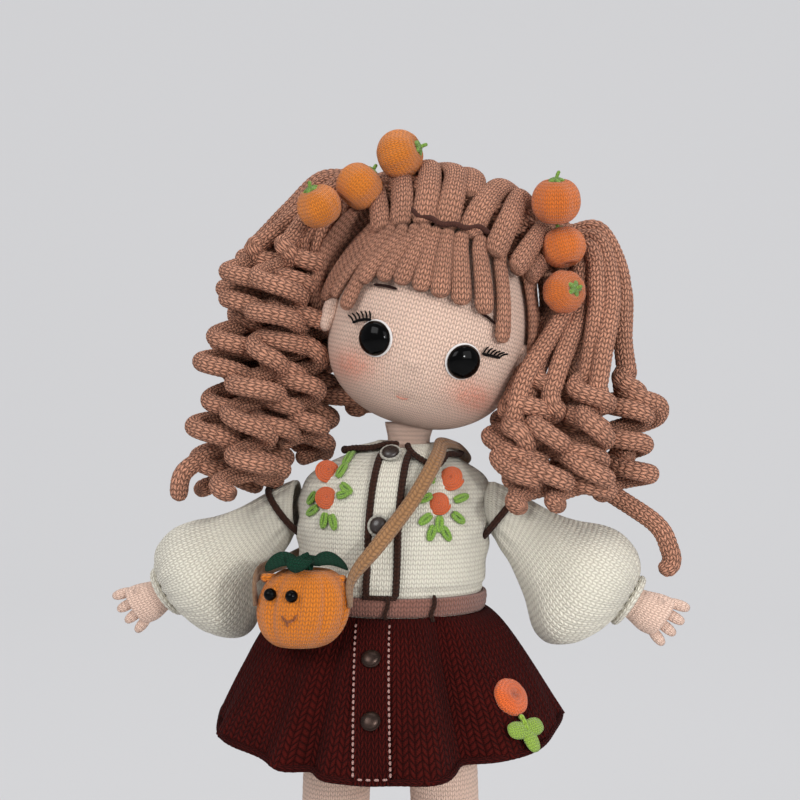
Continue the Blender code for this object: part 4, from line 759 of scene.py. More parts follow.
# side, place on the tie in degrees, route, curl's top and bottom, turns, first turn's angle, curl's radius,
# tail, and the CAD node that it stands for; points and radius in millimetres
strands = (
    (-1, 8, ((-30, 6, 323),), (-45, -1, 304),
     (-68, -3, 206), 8.6, 0, 6.6, (), "strand_right_1"),
    (-1, 80, ((-26, -1, 317),), (-33.5, -8, 300),
     (-44, -14, 211), 8.2, 120, 6.4, (), "strand_right_2"),
    (-1, 302, ((-25, 15.8, 327),), (-41, 18.5, 302),
     (-58, 20, 207), 8.4, 200, 6.4, (), "strand_right_3"),
    (-1, 218, ((-24.5, 14.6, 305.2), (-28.5, 24, 292)), (-31.5, 28, 280),
     (-38, 25, 218), 5, 40, 6.3, (), "strand_right_4"),
    (-1, 330, ((-27.5, 8, 327), (-40, 8, 316)), (-55, 6, 300),
     (-58, 6, 248), 4.6, 90, 8.2, ((-48, 2, 242),), None),
    (-1, 345, ((-31, 8, 320), (-40, 8, 311)), (-48, 6, 303),
     (-60, 8, 215), 7.5, 90, 7.8, (), None),
    (-1, 30, ((-29, 0, 317),), (-50, -9, 299),
     (-66, -14, 222), 6.4, 300, 7.8, ((-76, -15, 214), (-78.5, -15, 203)), None),
    (-1, 110, ((-23, -2, 313), (-27, -4, 299)), (-29, -6, 283),
     (-33, -10, 224), 4.5, 10, 6, (), None),
    (-1, 60, ((-28, -3, 315),), (-37, -14, 299),
     (-53, -24, 205), 7.2, 230, 7.6, (), None),
    (-1, 250, ((-27, 15, 312), (-37, 8, 298)), (-42, 6, 285),
     (-50, 6, 208), 6, 330, 6.6, (), None),
    (-1, 190, ((-24, 9, 306), (-27, 12, 293)), (-29, 13, 278),
     (-33, 14, 218), 5, 150, 6, (), None),
    (-1, 175, ((-25, 8, 305), (-30, 13, 279)), (-31, 14, 248),
     (-6, 16, 237), 2.2, 200, 6.2, (), None),
    (1, 8, ((79, 8, 305), (86.5, 3, 288), (87, 1, 268)), (88.5, 0, 250),
     (89, -1, 208), 4, 180, 6.6, ((98.5, -6, 196), (103.5, -7, 187), (104, -8, 181.5),
                                  (100, -9, 178.5)), "strand_left_1"),
    (1, 80, ((76.5, 0.5, 296), (77.5, -7, 276)), (74, -15, 250),
     (72, -17, 206), 4, 60, 6.6, (), "strand_left_2"),
    (1, 152, ((70, 9, 283), (64, 4, 269)), (54.5, -17, 250),
     (51, -18, 211.5), 4, 240, 6.4, (), "strand_left_3"),
    (1, 296, ((76.5, 20.5, 296), (74.5, 17.5, 274)), (68, 10, 254),
     (65.5, 7.5, 208), 4, 300, 6.4, (), "strand_left_4"),
    (1, 224, ((67, 19, 283), (61, 26, 266)), (51, 28, 250),
     (46, 26, 216), 3, 30, 6.3, (), "strand_left_5"),
    (1, 120, ((72, 2, 290), (65, -6, 272), (52, -20, 250)), (48, -24, 236),
     (48, -26, 208), 2, 100, 6.2, (), None),
    (1, 50, ((79, 3, 300), (83, -5, 280), (79, -16, 256)), (77, -19, 243),
     (70, -27, 203), 2.7, 0, 7.2, (), None),
    (1, 330, ((80, 14, 301), (88, 13, 284), (88, 8, 264)), (89, 6, 254),
     (94, 2, 224), 1.2, 120, 9.8, ((90, -6, 219),), None),
    (1, 262, ((74, 22, 290), (72, 25, 272)), (70, 24, 244),
     (69, 23, 212), 2.5, 130, 6.6, (), None),
    (1, 100, ((74, 4, 289), (70.5, -4, 272), (64, -16, 254)), (60, -21, 241),
     (57, -29, 203), 2.8, 320, 7.2, (), None),
    (1, 160, ((64, 6, 280), (56, -2, 264), (50, -11, 250)), (45.5, -15, 239),
     (44, -19, 219), 1.5, 200, 5, (), None),
    (1, 140, ((68, 4, 284), (61, -4, 266), (55, -13, 250)), (51.5, -17, 238),
     (49, -20, 215), 1.6, 40, 5.5, (), None),
)
# bands that hang from the ties down the sides of the head: points in the head's frame, in millimetres
sideBands = (((40, 7, -20), (42.6, 6.5, -6), (43, 6, 6), (41.2, 5, 17), (37, 4, 27), (31, 4, 34)),
             ((-43, 7, -22), (-46.2, 6, -9), (-46.8, 5, 6), (-44.5, 4, 19), (-38, 4, 32)),
             ((-41, 15, -24), (-44.5, 14.5, -9), (-45, 13, 7), (-42, 11, 22), (-37, 9, 33)),
             ((-42.5, 0, 4), (-41.5, 0, 16), (-36, 0.5, 27), (-28, 3, 36)),
             ((-40.5, -1.5, -12), (-45.2, -3, 0), (-44.4, -4, 13), (-40.5, -4, 25), (-34, -2, 35)))


def curlPath(start, way, route, top, bottom, turns, first, radius, tail):
    # out of the tie, down its route, then round a leaning axis while it widens, then its tail
    lead = smoothLine([start - way * 0.004, start + way * hair["radius"] * 0.9, *route, top], 200)
    steps = np.linspace(0.0, 1.0, int(turns * 40))[1:]
    angle = math.radians(first) + steps * turns * 2 * math.pi
    grow = radius * np.minimum(1.0, steps * turns / 0.7) * (1 + 0.20 * np.sin(steps * 17 + first))
    steps = steps + 0.016 * np.sin(steps * 21 + first)
    line = top + (bottom - top) * steps[:, None]
    line = line + 0.0016 * np.sin(steps * 12 + first)[:, None] * (1.0, 0.5, 0.0)
    curl = line + grow[:, None] * np.stack((np.cos(angle), np.sin(angle), np.zeros(len(steps))), axis=1)
    knots = np.concatenate((lead[::8], curl[3::5], tail.reshape(-1, 3)))
    return smoothLine(knots, max(60, int(lineLength(knots) / 0.0007)))


def makeSeam():
    # the dark plaited seam where the fringe meets the crown
    angle, polar = np.radians(np.array(crown["seam"], float)).T
    line = smoothLine(fromHead(headPoint(angle, polar, 0.0068)), 120)
    turn = np.linspace(0.0, 26.0, 120)
    line = line + 0.00035 * np.stack((np.sin(turn), np.cos(turn), np.sin(turn)), axis=1)
    shellPiece("hairSeam", [tubeShell(line, 0.0010, gauge=(0.001, 0.001), sides=10)], seamYarn, "head",
               "hair")


def makeStrands():
    # each strand starts on its tie's ring and ends after its curl and tail
    extra = {-1: [], 1: []}
    for side, place, route, top, bottom, turns, first, radius, tail, node in strands:
        way = crownWay(side)
        end = np.array(crown["end"]) * (side, 1.0, 1.0) + way * crown["band"]
        start = fromHead(ringAcross(end, way, 0.0066, np.array([math.radians(place)]))[0])
        route, top, bottom, tail = (metres(points) for points in (route, top, bottom, tail))
        path = curlPath(start, headTurn @ way, route, top, bottom, turns, first, radius / 1000, tail)
        shell = tubeShell(path, hair["radius"], sides=16, ends=0.6)
        if node:
            shellPiece("curl_" + node[7:], [shell], hairYarn, "head", "hair", replaces=(node,))
        else:
            extra[side].append(shell)
    for points in sideBands:
        path = smoothLine(metres(points), 110)
        out = unit(path * (1.0, 1.0, 0.3))
        side = -1 if points[0][0] < 0 else 1
        extra[side].append(tubeShell(fromHead(path), crown["bandRadius"], gauge=(0.0023, 0.0021), sides=24,
                                     flat=0.62, facing=out @ headTurn.T, ends=0.55))
    shellPiece("curls_right", extra[-1], hairYarn, "head", "hair")
    shellPiece("curls_left", extra[1], hairYarn, "head", "hair")


# each fruit's middle and radius in the head's frame, then where its stalk points
fruits = {"list": ((-0.0263, -0.0130, 0.0543, 0.0091, (0.9, -0.25, 0.25)),
                   (-0.0377, -0.0140, 0.0390, 0.0088, (0.62, 0.15, 0.77)),
                   (-0.0492, -0.0203, 0.0273, 0.0083, (-0.35, -0.45, 0.80)),
                   (0.0333, -0.0205, 0.0506, 0.0091, (0.0, -0.35, 0.90)),
                   (0.0406, -0.0132, 0.0364, 0.0082, (-0.25, 0.15, 0.95)),
                   (0.0449, -0.0150, 0.0205, 0.0080, (0.55, -0.80, 0.10))),
          "lobes": 8, "crease": 0.05}


def fruitShell(centre, pole, radius, tall=0.93):
    # a ball pressed at its poles, with shallow creases from pole to pole
    polar = np.linspace(0.0, math.pi, 46)[1:-1]
    turn = wheel(64)
    crease = 1 - fruits["crease"] * np.abs(np.cos(turn * fruits["lobes"] / 2)) ** 4 * np.sin(polar)[:, None]
    out = radius * np.sin(polar)[:, None] ** 0.92 * crease
    high = radius * tall * np.cos(polar)[:, None] * (1 - 0.22 * np.exp(-(np.sin(polar)[:, None] / 0.28) ** 2))
    ball = pointGrid(out * np.cos(turn), out * np.sin(turn), high)
    place = np.array(seatOn((0, 0, 0), pole).to_3x3())
    return gridShell(ball @ place.T + centre, gauge=(0.0016, 0.0015), caps=(True, True))


def calyxShell(centre, pole, radius, petals=5, size=0.0034):
    # a star of pointed petals on the fruit's top, with a short stem
    place = np.array(seatOn((0, 0, 0), pole).to_3x3())
    turn = wheel(60)
    star = size * (0.50 + 0.50 * np.abs(np.cos(turn * petals / 2)) ** 1.5)
    steps = np.array([0.05, 0.35, 0.7, 0.95, 1.0, 0.9, 0.6, 0.2])
    lift = np.array([0.0012, 0.0011, 0.0009, 0.0005, 0.0001, -0.0003, -0.0003, -0.0003])
    flat = star * steps[:, None]
    drop = radius * 0.93 * 0.90 - flat ** 2 / (2 * radius) + lift[:, None]
    leaf = np.stack([flat * np.cos(turn), flat * np.sin(turn), drop], axis=-1)
    stem = np.array([(0, 0, radius * 0.8), (0.0002, 0, radius * 0.95), (0.0006, 0.0002, radius * 1.08),
                     (0.0012, 0.0003, radius * 1.2)])
    return [gridShell(leaf @ place.T + centre, gauge=(0.0009, 0.0009), caps=(True, True)),
            tubeShell(smoothLine(stem @ place.T + centre, 20), 0.0007, gauge=(0.001, 0.001), sides=10)]


def makeFruits():
    # six fruits on the hair, each with its calyx; those on the right are more yellow
    for number, (x, y, z, radius, pole) in enumerate(fruits["list"], start=1):
        centre = fromHead((x, y, z))
        pole = unit(np.array(pole))
        fruit = shellPiece("fruit_%d" % number, [fruitShell(centre, pole, radius)],
                           orangeYarn if x < 0 else fruitYarn, "head", "orange",
                           replaces=("hair_fruit_%d" % number,))
        shellPiece("calyx_%d" % number, calyxShell(centre, pole, radius), leafYarn, "head", "green")


makeCap()
makeFringe()
for side, word in bothSides:
    makeCrown(side, word)
    makeTie(side, word)
makeSeam()
makeStrands()
makeFruits()
print("hair made")


# body: the CAD torso's rows of height share, half width share, half depth share and sideways shift
torso = {"bottom": 0.140, "height": 0.0927, "halfWidth": 0.0350, "halfDepth": 0.0255, "neck": 0.004,
         "rows": ((0.0, 0.86, 0.94, 0.0), (0.13, 0.90, 0.97, 0.0), (0.28, 0.91, 0.94, 0.0),
                  (0.43, 0.96, 0.99, 0.2), (0.57, 1.0, 1.0, 0.3), (0.68, 0.985, 0.88, 0.4),
                  (0.765, 0.92, 0.76, 0.6), (0.84, 0.60, 0.52, 0.9), (0.90, 0.25, 0.28, 1.7),
                  (1.0, 0.27, 0.27, 1.9))}
layers = {"blouse": 0.0021, "placket": 0.0030, "collar": 0.0034, "trim": 0.0032, "belt": 0.0032,
          "strap": 0.0057, "cloth": 0.0016}


def readRows(rows, share, column):
    # a smooth curve through the rows, read at a share of their first column
    fine = smoothRings(np.asarray(rows, float)[:, :, None], 16 * len(rows))[..., 0]
    return np.interp(share, fine[:, 0], fine[:, column])


def bodyShare(height):
    # a height as a share of the torso's own
    return (height - torso["bottom"]) / torso["height"]


def bodySurface(angle, share):
    # an ellipse at each height: shift plus half width by sine, half depth by cosine
    wide, deep, shift = (readRows(torso["rows"], share, column) for column in (1, 2, 3))
    return pointGrid(
        torso["neck"] * shift + torso["halfWidth"] * wide * np.sin(angle),
        -torso["halfDepth"] * deep * np.cos(angle), torso["bottom"] + torso["height"] * share)


def bodyPoint(angle, share, lift=0.0):
    # the torso's surface plus its outward direction times the lift
    angle, share = np.broadcast_arrays(np.asarray(angle, float), np.asarray(share, float))
    return bodySurface(angle, share) + outward(bodySurface, angle, share) * np.asarray(lift)[..., None]


def bodySpot(x, z, lift):
    # the front point of the body at a width and a height in metres
    share = bodyShare(np.asarray(z, float))
    wide = torso["halfWidth"] * readRows(torso["rows"], share, 1) + lift
    middle = torso["neck"] * readRows(torso["rows"], share, 3)
    return bodyPoint(np.arcsin(np.clip((np.asarray(x) - middle) / wide, -1, 1)), share, lift)


def makeTorso():
    # the stuffed body and its neck, closed round the dowel
    shares = np.linspace(0.0, 1.0, 90)
    rings = bodyPoint(wheel(120)[None], shares[:, None], 0.0)
    piece = gridPiece("torsoKnit", rings, skinYarn, "body", "skin", caps=(True, True), replaces=("torso",))


legs = {"top": 0.1397, "foot": 0.012, "radius": 0.0135, "spread": (0.0165, 0.0225),
        "rows": ((0.0, 0.70, 1.0), (0.06, 0.80, 1.0), (0.16, 0.80, 1.0), (0.34, 0.86, 0.90),
                 (0.52, 0.93, 0.78), (0.70, 0.96, 0.62), (0.86, 1.0, 0.30), (1.0, 1.0, 0.0))}
shoe = {"length": 0.052, "width": 0.029, "height": 0.026, "sole": 0.003, "rim": 0.0008, "forward": 0.009,
        "rows": ((0.0, 1.0, 0.97, 1.0), (0.18, 1.0, 1.0, 1.0), (0.42, 0.95, 0.98, 0.94),
                 (0.66, 0.80, 0.93, 0.66), (0.86, 0.62, 0.90, 0.22), (1.0, 0.55, 0.90, 0.05)),
        "piping": 0.0010}


def makeLegs():
    # legs as tubes of rounds that swell a little between their stitch rows, and shoes in egg-shaped rings
    for side, word in bothSides:
        share = np.linspace(0.0, 1.0, 110)
        turn = wheel(72)
        radius = legs["radius"] * readRows(legs["rows"], share, 1)
        swell = 1 + 0.010 * np.abs(np.sin(share * 0.1277 / 0.0017 * math.pi))
        spread = legs["spread"][0] + (legs["spread"][1] - legs["spread"][0]) * readRows(legs["rows"], share,
                                                                                        2)
        height = legs["foot"] + (legs["top"] - legs["foot"]) * share
        rings = pointGrid(
            side * spread[:, None] + (radius * swell)[:, None] * np.sin(turn),
            -(radius * swell)[:, None] * np.cos(turn), height[:, None])
        piece = gridPiece("legKnit_" + word, rings, skinYarn, "body", "skin", caps=(True, True),
                          replaces=("leg_" + word,))
        turn = wheel(96)

        def ring(lengthShare, widthShare, shift, height, rim=0.0):
            # an ellipse round the foot at shares of the shoe's size
            return pointGrid(
                side * legs["spread"][1] + (shoe["width"] / 2 * widthShare + rim) * np.sin(turn),
                -shoe["forward"] * shift - (shoe["length"] / 2 * lengthShare + rim) * np.cos(turn), height)

        low = shoe["sole"] + 0.0002
        shares = np.linspace(0.0, 1.0, 40)
        rings = [ring(*(readRows(shoe["rows"], s, column) for column in (1, 2, 3)),
                      low + (shoe["height"] - low) * s) for s in shares]
        throat = [ring(0.42, 0.76, 0.05, shoe["height"] - 0.0004),
                  ring(0.40, 0.74, 0.05, shoe["height"] - 0.006)]
        piece = gridPiece("shoeKnit_" + word, np.array(rings + throat), skirtYarn, "body", "maroon",
                          caps=(True, True), replaces=("shoe_" + word,))
        soles = [ring(0.97, 0.95, 1.0, 0.0), ring(1.0, 1.0, 1.0, 0.0006, shoe["rim"]),
                 ring(1.0, 1.0, 1.0, 0.0024, shoe["rim"]), ring(0.97, 0.95, 1.0, shoe["sole"])]
        gridPiece("soleKnit_" + word, smoothRings(np.array(soles), 14), creamYarn, "body", "cream",
                  caps=(True, True), replaces=("sole_" + word,))
        edge = ring(0.60, 0.93, 0.05, shoe["height"] + 0.0002)
        loopTube("shoeEdge_" + word, edge, shoe["piping"], trimYarn, "body", "maroon")
        seam = ring(1.0, 1.0, 1.0, shoe["sole"] + 0.0008, shoe["rim"] * 0.4)
        loopTube("shoeSeam_" + word, seam, shoe["piping"] * 0.8, trimYarn, "body", "maroon")


def loopShell(path, radius, gauge=(0.0016, 0.0016), sides=12):
    # a closed ring of yarn: a circle carried round a closed path, beaded by its stitches
    along = unit(np.roll(path, -1, axis=0) - np.roll(path, 1, axis=0))
    middle = path.mean(axis=0)
    side = path - middle
    side = unit(side - along * (side * along).sum(axis=1, keepdims=True))
    up = np.cross(along, side)
    closed = np.vstack((path, path[:1]))
    run = runAlong(closed)
    beads = max(4.0, round(run[-1] / gauge[1]))
    size = radius * (1 + 0.12 * np.abs(np.sin(run / run[-1] * beads * math.pi)))
    turn = wheel(sides)
    ring = np.cos(turn)[None, :, None] * side[:, None] + np.sin(turn)[None, :, None] * up[:, None]
    points = path[:, None] + ring * size[:-1, None, None]
    grid = np.concatenate((points, points[:1]))
    u = np.linspace(0.0, 4.0, sides + 1)
    uv = stitchMap(run / run[-1] * beads, u)
    return gridShell(grid, uv=uv, wrap=True)


def loopTube(name, path, radius, material, body, slot, **shape):
    # one closed ring of yarn as a piece of its own
    return shellPiece(name, [loopShell(path, radius, **shape)], material, body, slot)


makeTorso()
makeLegs()
print("body and shoes made")


blouse = {"low": 0.158, "top": 0.883, "rows": 130, "around": 300, "bulge": 0.0011, "bulgeShare": 0.37,
          "rib": 0.00026, "pitch": 0.0017}
placket = {"width": 0.0105, "low": 0.1705, "top": 0.872, "edge": 0.0014}
collars = {"high": 0.895, "low": {-1: ((0.0, 0.12, 0.35, 1.0), (0.882, 0.868, 0.846, 0.840)),
                               1: ((0.0, 0.13, 0.26, 1.0), (0.872, 0.796, 0.836, 0.840))},
           "front": 10.0, "back": 174.0, "edge": 0.0012, "area": {-1: 0.00040, 1: 0.00048}}


def softLift(angle, share):
    # the cloth stands off above the belt and in a few soft creases that run from the arms to the front
    bulge = blouse["bulge"] * np.exp(-((share - blouse["bulgeShare"]) / 0.055) ** 2)
    side = np.abs(np.sin(angle)) ** 4
    crease = 0.0007 * side * np.sin(share * 46.0 + 2.2 * np.sin(angle * 3.0))
    slack = 0.0004 * np.sin(angle * 5.0 + share * 9.0) * np.exp(-((share - 0.45) / 0.12) ** 2)
    seam = -0.0006 * np.exp(-((share - 0.352) / 0.012) ** 2)
    return bulge + crease * np.exp(-((share - 0.6) / 0.14) ** 2) + slack + seam


def blouseGrid():
    # the torso's surface pushed out by the cloth, with fine upright ribs
    share = np.linspace(bodyShare(blouse["low"]), blouse["top"], blouse["rows"])[:, None]
    angle = wheel(blouse["around"])[None]
    count = round(2 * math.pi * 0.033 / blouse["pitch"])
    rib = blouse["rib"] * np.abs(np.sin(angle * count / 2)) ** 0.8
    taper = np.clip((blouse["top"] - share) / 0.03, 0.0, 1.0)
    return bodyPoint(angle, share, layers["blouse"] - 0.0004 + softLift(angle,
                                                                        share) * taper + rib * taper), count


def makeBlouse():
    # the blouse as one sheet with a wall, its stitches counted along its front
    grid, count = blouseGrid()
    rows = runAlong(grid[:, 0]) / 0.0017
    uv = stitchMap(rows, np.linspace(0.0, count, blouse["around"] + 1))
    piece = gridPiece("blouseKnit", grid, blouseYarn, "body", "cream", uv=uv, wall=0.0016, offset=-1.0,
                      replaces=("blouse",))


def frontStrip(name, left, right, low, top, lift, material, slot, replaces=(), wall=0.0009, rows=120,
               columns=14):
    # a strip on the front of the blouse between two widths, from a height to a share of the torso
    share = np.linspace(bodyShare(low), top, rows)[:, None]
    width = np.linspace(left, right, columns)[None]
    wide = torso["halfWidth"] * readRows(torso["rows"], share, 1) + lift
    angle = np.arcsin(np.clip(width / wide, -0.99, 0.99))
    ribs = 0.00025 * np.abs(np.sin(width / 0.0022 * math.pi))
    grid = bodyPoint(angle, share, lift + softLift(angle, share) * 0.6 + ribs)
    return gridPiece(name, grid, material, "body", slot, gauge=(0.0019, 0.0020), wrap=False, wall=wall,
                     offset=-1.0, inside=(0.0, 0.0, 0.19), replaces=replaces)


def edgeYarn(name, points, radius, material, body, slot, stitches=0.0016):
    # a row of short stitches set as teeth along a line, as an overcast edge
    path = smoothLine(points, max(30, int(lineLength(np.asarray(points)) / 0.0003)))
    shell = tubeShell(path, radius, gauge=(radius * 2, stitches), sides=12, relief=0.30, ends=0.6)
    return shellPiece(name, [shell], material, body, slot)


def makePlacket():
    # the button band down the blouse's front, with a dark edge on each side
    half = placket["width"] / 2
    strip = frontStrip("placketKnit", -half, half, placket["low"], placket["top"], layers["placket"],
                       blouseYarn,
                       "cream", replaces=("blouse_placket",))
    for side, word in bothSides:
        share = np.linspace(bodyShare(placket["low"]), placket["top"] - 0.012, 24)
        wide = torso["halfWidth"] * readRows(torso["rows"], share, 1) + layers["trim"]
        x = side * (half + 0.0002)
        angle = np.arcsin(x / wide)
        line = bodyPoint(angle, share, layers["trim"] + softLift(angle, share) * 0.6 + 0.0003)
        edgeYarn("placketEdge_" + word, line, placket["edge"], trimYarn, "body", "belt")


buttons = {"shares": (0.845, 0.595), "x": -0.0014, "lift": 0.0021, "radius": 0.0032, "high": 0.0022,
           "ring": 0.0036, "yarn": 0.00045}


def makeButtons():
    # two domed buttons with a light thread ring round each
    for number, share in enumerate(buttons["shares"], start=1):
        angle = buttons["x"] / (torso["halfWidth"] * readRows(torso["rows"], share, 1))
        lift = layers["blouse"] + buttons["lift"]
        place = seatOn(bodyPoint(angle, share, lift), outward(bodySurface, np.array(angle), np.array(share)))
        turn = np.linspace(0.0, math.pi / 2, 14)[:-1]
        radius, foot = buttons["radius"], 0.0006
        dome = [(radius - 0.0002, 0.0), (radius, 0.0004)]
        dome += [((radius - 0.0001) * math.cos(t),
                  foot + (buttons["high"] - foot) * math.sin(t)) for t in turn]
        discPiece("blouseButton_%d" % number, dome, place, buttonGloss, "body", "black",
                  replaces=("blouse_button_%d" % number,))
        turn = wheel(60)
        ring = pointGrid(buttons["ring"] * np.cos(turn), buttons["ring"] * np.sin(turn), 0.0003)
        loopTube("buttonRing_%d" % number, setOn(ring, place), buttons["yarn"], creamYarn, "body", "cream")


def makeCollars():
    # two flaps that lie on the shoulders, rounded at the front, with an overcast edge
    for side, word in bothSides:
        turn = np.radians(np.linspace(collars["front"], collars["back"], 90)) * side
        t = np.linspace(0.0, 1.0, 26)[:, None]
        along = np.linspace(0.0, 1.0, 90)[None]
        share = collars["high"] - (collars["high"] - np.interp(along, *collars["low"][side])) * t
        angle = turn[None] + 0 * t
        wave = 0.0004 * t * np.sin(along * 26.0)
        grid = bodyPoint(angle, share, layers["collar"] + 0.0006 * t + wave)
        piece = gridPiece("collarKnit_" + word, grid, blouseYarn, "body", "cream", gauge=(0.0019, 0.0018),
                          wrap=False, wall=0.0010, offset=-1.0, inside=(0.0, 0.0, 0.19),
                          replaces=("collar_" + word,))
        edge = np.vstack((grid[:, 0], grid[-1, 1:], grid[::-1, -1][1:]))
        edgeYarn("collarEdge_" + word, edge[::3], collars["edge"], trimYarn, "body", "belt")


flowers = {"places": (((-0.0227, 0.2125), (-0.0215, 0.2045)), ((0.0255, 0.2110), (0.0212, 0.2030))),
           "radius": (0.0046, 0.0041), "leaves": (
               ((-0.0262, 0.2060, 235), (-0.0180, 0.2110, 60), (-0.0172, 0.2050, 20), (-0.0250, 0.2010, 215),
                (-0.0190, 0.1985, 290), (-0.0165, 0.2150, 70), (-0.0215, 0.1990, 262),
                (-0.0160, 0.2090, 330)),
               ((0.0195, 0.2105, 170), (0.0185, 0.2060, 205), (0.0185, 0.1990, 215), (0.0215, 0.1985, 268),
                (0.0265, 0.2040, 20), (0.0195, 0.1955, 250), (0.0225, 0.1950, 300), (0.0205, 0.2135, 150),
                (0.0260, 0.1995, 320)))}


def satinPatch(spot, normal, radius, lift, turns=5):
    # a small round of yarn wound flat from the middle outwards
    run = np.linspace(0.0, 1.0, 26 * turns)
    turn = run * turns * 2 * math.pi
    size = radius * run ** 0.9
    local = np.stack([size * np.cos(turn), size * np.sin(turn), lift * (1 - run ** 2)], axis=1)
    return tubeShell(setOn(local, seatOn(spot, normal)), radius / turns * 0.62, gauge=(0.0008, 0.0008),
                     sides=8,
                     relief=0.12, ends=0.5)


def leafStitch(x, z, angle, length, radius, lift):
    # a looped stitch on the blouse: out along one side and back along the other
    t = np.linspace(0.0, 2 * math.pi, 13)
    reach, wide = length * (1 - np.cos(t)) / 2, length * 0.17 * np.sin(t)
    turn = math.radians(angle)
    xs = x + reach * math.cos(turn) - wide * math.sin(turn)
    zs = z + reach * math.sin(turn) + wide * math.cos(turn)
    return tubeShell(smoothLine(bodySpot(xs, zs, lift), 40), radius, gauge=(radius * 2, 0.0009), sides=8,
                     relief=0.12, ends=0.8)


def makeEmbroidery():
    # two wound rounds and a spray of looped leaves on each side of the front
    for side, (balls, leaves) in enumerate(zip(flowers["places"], flowers["leaves"])):
        shells = []
        for (x, z), radius in zip(balls, flowers["radius"]):
            spot = bodySpot(x, z, layers["blouse"] + 0.0006)
            normal = bodySpot(x, z, 0.004) - bodySpot(x, z, 0.0)
            shells.append(satinPatch(spot, normal, radius, 0.0014))
        word = ("right", "left")[side]
        shellPiece("blouseFruit_" + word, shells, flowerYarn, "body", "orange")
        shells = [leafStitch(x, z, angle, 0.0047, 0.00086, layers["blouse"] + 0.0008) for x, z,
                  angle in leaves]
        shellPiece("blouseLeaves_" + word, shells, leafYarn, "body", "green")


makeBlouse()
makePlacket()
makeButtons()
makeCollars()
makeEmbroidery()
print("blouse made")


belt = {"low": 0.163, "high": 0.1702, "loops": (-0.0018, 0.0150)}
skirt = {"hem": 0.1155, "hemRadius": 0.0632, "folds": 9, "foldDepth": 0.0046, "pleatDepth": 0.0150,
         "tuck": -20.0, "tuckDepth": 0.0095, "tuckSpread": 5.5, "rise": 0.0070,
         "pleat": 33.0, "pleatSpread": 7.0, "flat": 16.0, "flare": 0.76, "placket": 0.012,
         "buttons": (0.24, 0.62), "flower": (55.0, 0.58), "flowerRadius": 0.0068,
         "leaf": (0.0046, 0.0032, 0.0011), "ribs": 96, "rows": 110,
         "around": 576, "stitch": 0.0026}


def makeBelt():
    # a flat crocheted band with rounded edges round the foot of the blouse, and two dark loops on it
    across = np.linspace(-1.0, 1.0, 12)[:, None]
    height = (belt["low"] + belt["high"]) / 2 + (belt["high"] - belt["low"]) / 2 * across
    angle = wheel(260)[None]
    lift = layers["belt"] + 0.0014 * np.sqrt(np.clip(1 - across**2, 0.02, 1.0)) ** 0.5
    row = 0.0002 * np.abs(np.sin(across * math.pi * 1.5))
    grid = bodyPoint(angle, bodyShare(height), lift + row)
    grid = np.concatenate((grid, bodyPoint(angle, bodyShare(height[::-1]), 0.0027 + 0 * lift)))
    closed = np.concatenate((grid, grid[:1]))
    gridPiece("beltKnit", closed, beltYarn, "body", "belt", gauge=(0.0020, 0.0018), replaces=("belt",))
    for number, x in enumerate(belt["loops"], start=1):
        t = np.linspace(-1.0, 1.0, 9)
        z = (belt["low"] + belt["high"]) / 2 + 0.0052 * t
        drift = 0.0006 * np.sin(t * 3.0)
        line = bodySpot(x + 0.0045 + drift, z, 0.0044 + 0.0014 * np.sqrt(np.clip(1 - t**2, 0, 1)))
        edgeYarn("beltLoop_%d" % number, line, 0.00085, trimYarn, "body", "belt")
    share = bodyShare(belt["high"] + 0.0006)
    line = bodyPoint(np.linspace(-0.19, 0.17, 24), share, 0.0046)
    edgeYarn("beltEdge", line, 0.0009, trimYarn, "body", "belt")


def skirtSurface(angle, share, lift=0.0):
    # waist and hem half sizes mixed by the flare, plus folds that deepen downwards and one pleat; the hem
    # rises at the sides by the square of the sine
    waist = bodyShare(belt["low"])
    ease = 0.0028
    wide0 = torso["halfWidth"] * readRows(torso["rows"], waist, 1) + ease
    deep0 = torso["halfDepth"] * readRows(torso["rows"], waist, 2) + ease
    share = np.asarray(share, float)
    turn = (np.degrees(angle) + 180.0) % 360.0 - 180.0
    bulge = 0.26 * np.exp(-((turn + 95) / 35) ** 2) + 0.08 * np.exp(-((turn - 90) / 35) ** 2)
    flare = np.clip(share, 0.0, None) ** (skirt["flare"] - bulge)
    calm = 1.0 - np.exp(-(turn / skirt["flat"]) ** 2)
    calm = calm * (0.10 + 0.90 * np.cos(angle) ** 2)
    wave = skirt["foldDepth"] * share * np.cos(skirt["folds"] * angle + math.pi) * calm
    pleat = -skirt["pleatDepth"] * np.clip(share, 0, None) ** 0.5 * (1 - 0.5 * share) * np.exp(
        -((turn - skirt["pleat"]) / skirt["pleatSpread"]) ** 2)
    pleat = pleat - skirt["tuckDepth"] * np.clip(share, 0, None) ** 0.6 * np.exp(
        -((turn - skirt["tuck"]) / skirt["tuckSpread"]) ** 2)
    wide = wide0 + (skirt["hemRadius"] - wide0) * flare + wave + pleat + lift
    deep = deep0 + (skirt["hemRadius"] - deep0) * flare + wave + pleat + lift
    height = belt["low"] + (skirt["hem"] - belt["low"]) * share + skirt["rise"] * (share * np.sin(angle)) ** 2
    return pointGrid(wide * np.sin(angle), -deep * np.cos(angle), height)


def skirtNormal(angle, share):
    # the share runs down the skirt, so the sign is turned
    return -outward(skirtSurface, angle, share)


def skirtSpot(x, share, lift):
    # the front point of the skirt at a width in metres
    wide = skirtSurface(np.full(np.shape(share), math.pi / 2), share, lift)[..., 0]
    x = x - 0.0022 + 0.0048 * share
    return skirtSurface(np.arcsin(np.clip(x / wide, -1, 1)), share, lift)


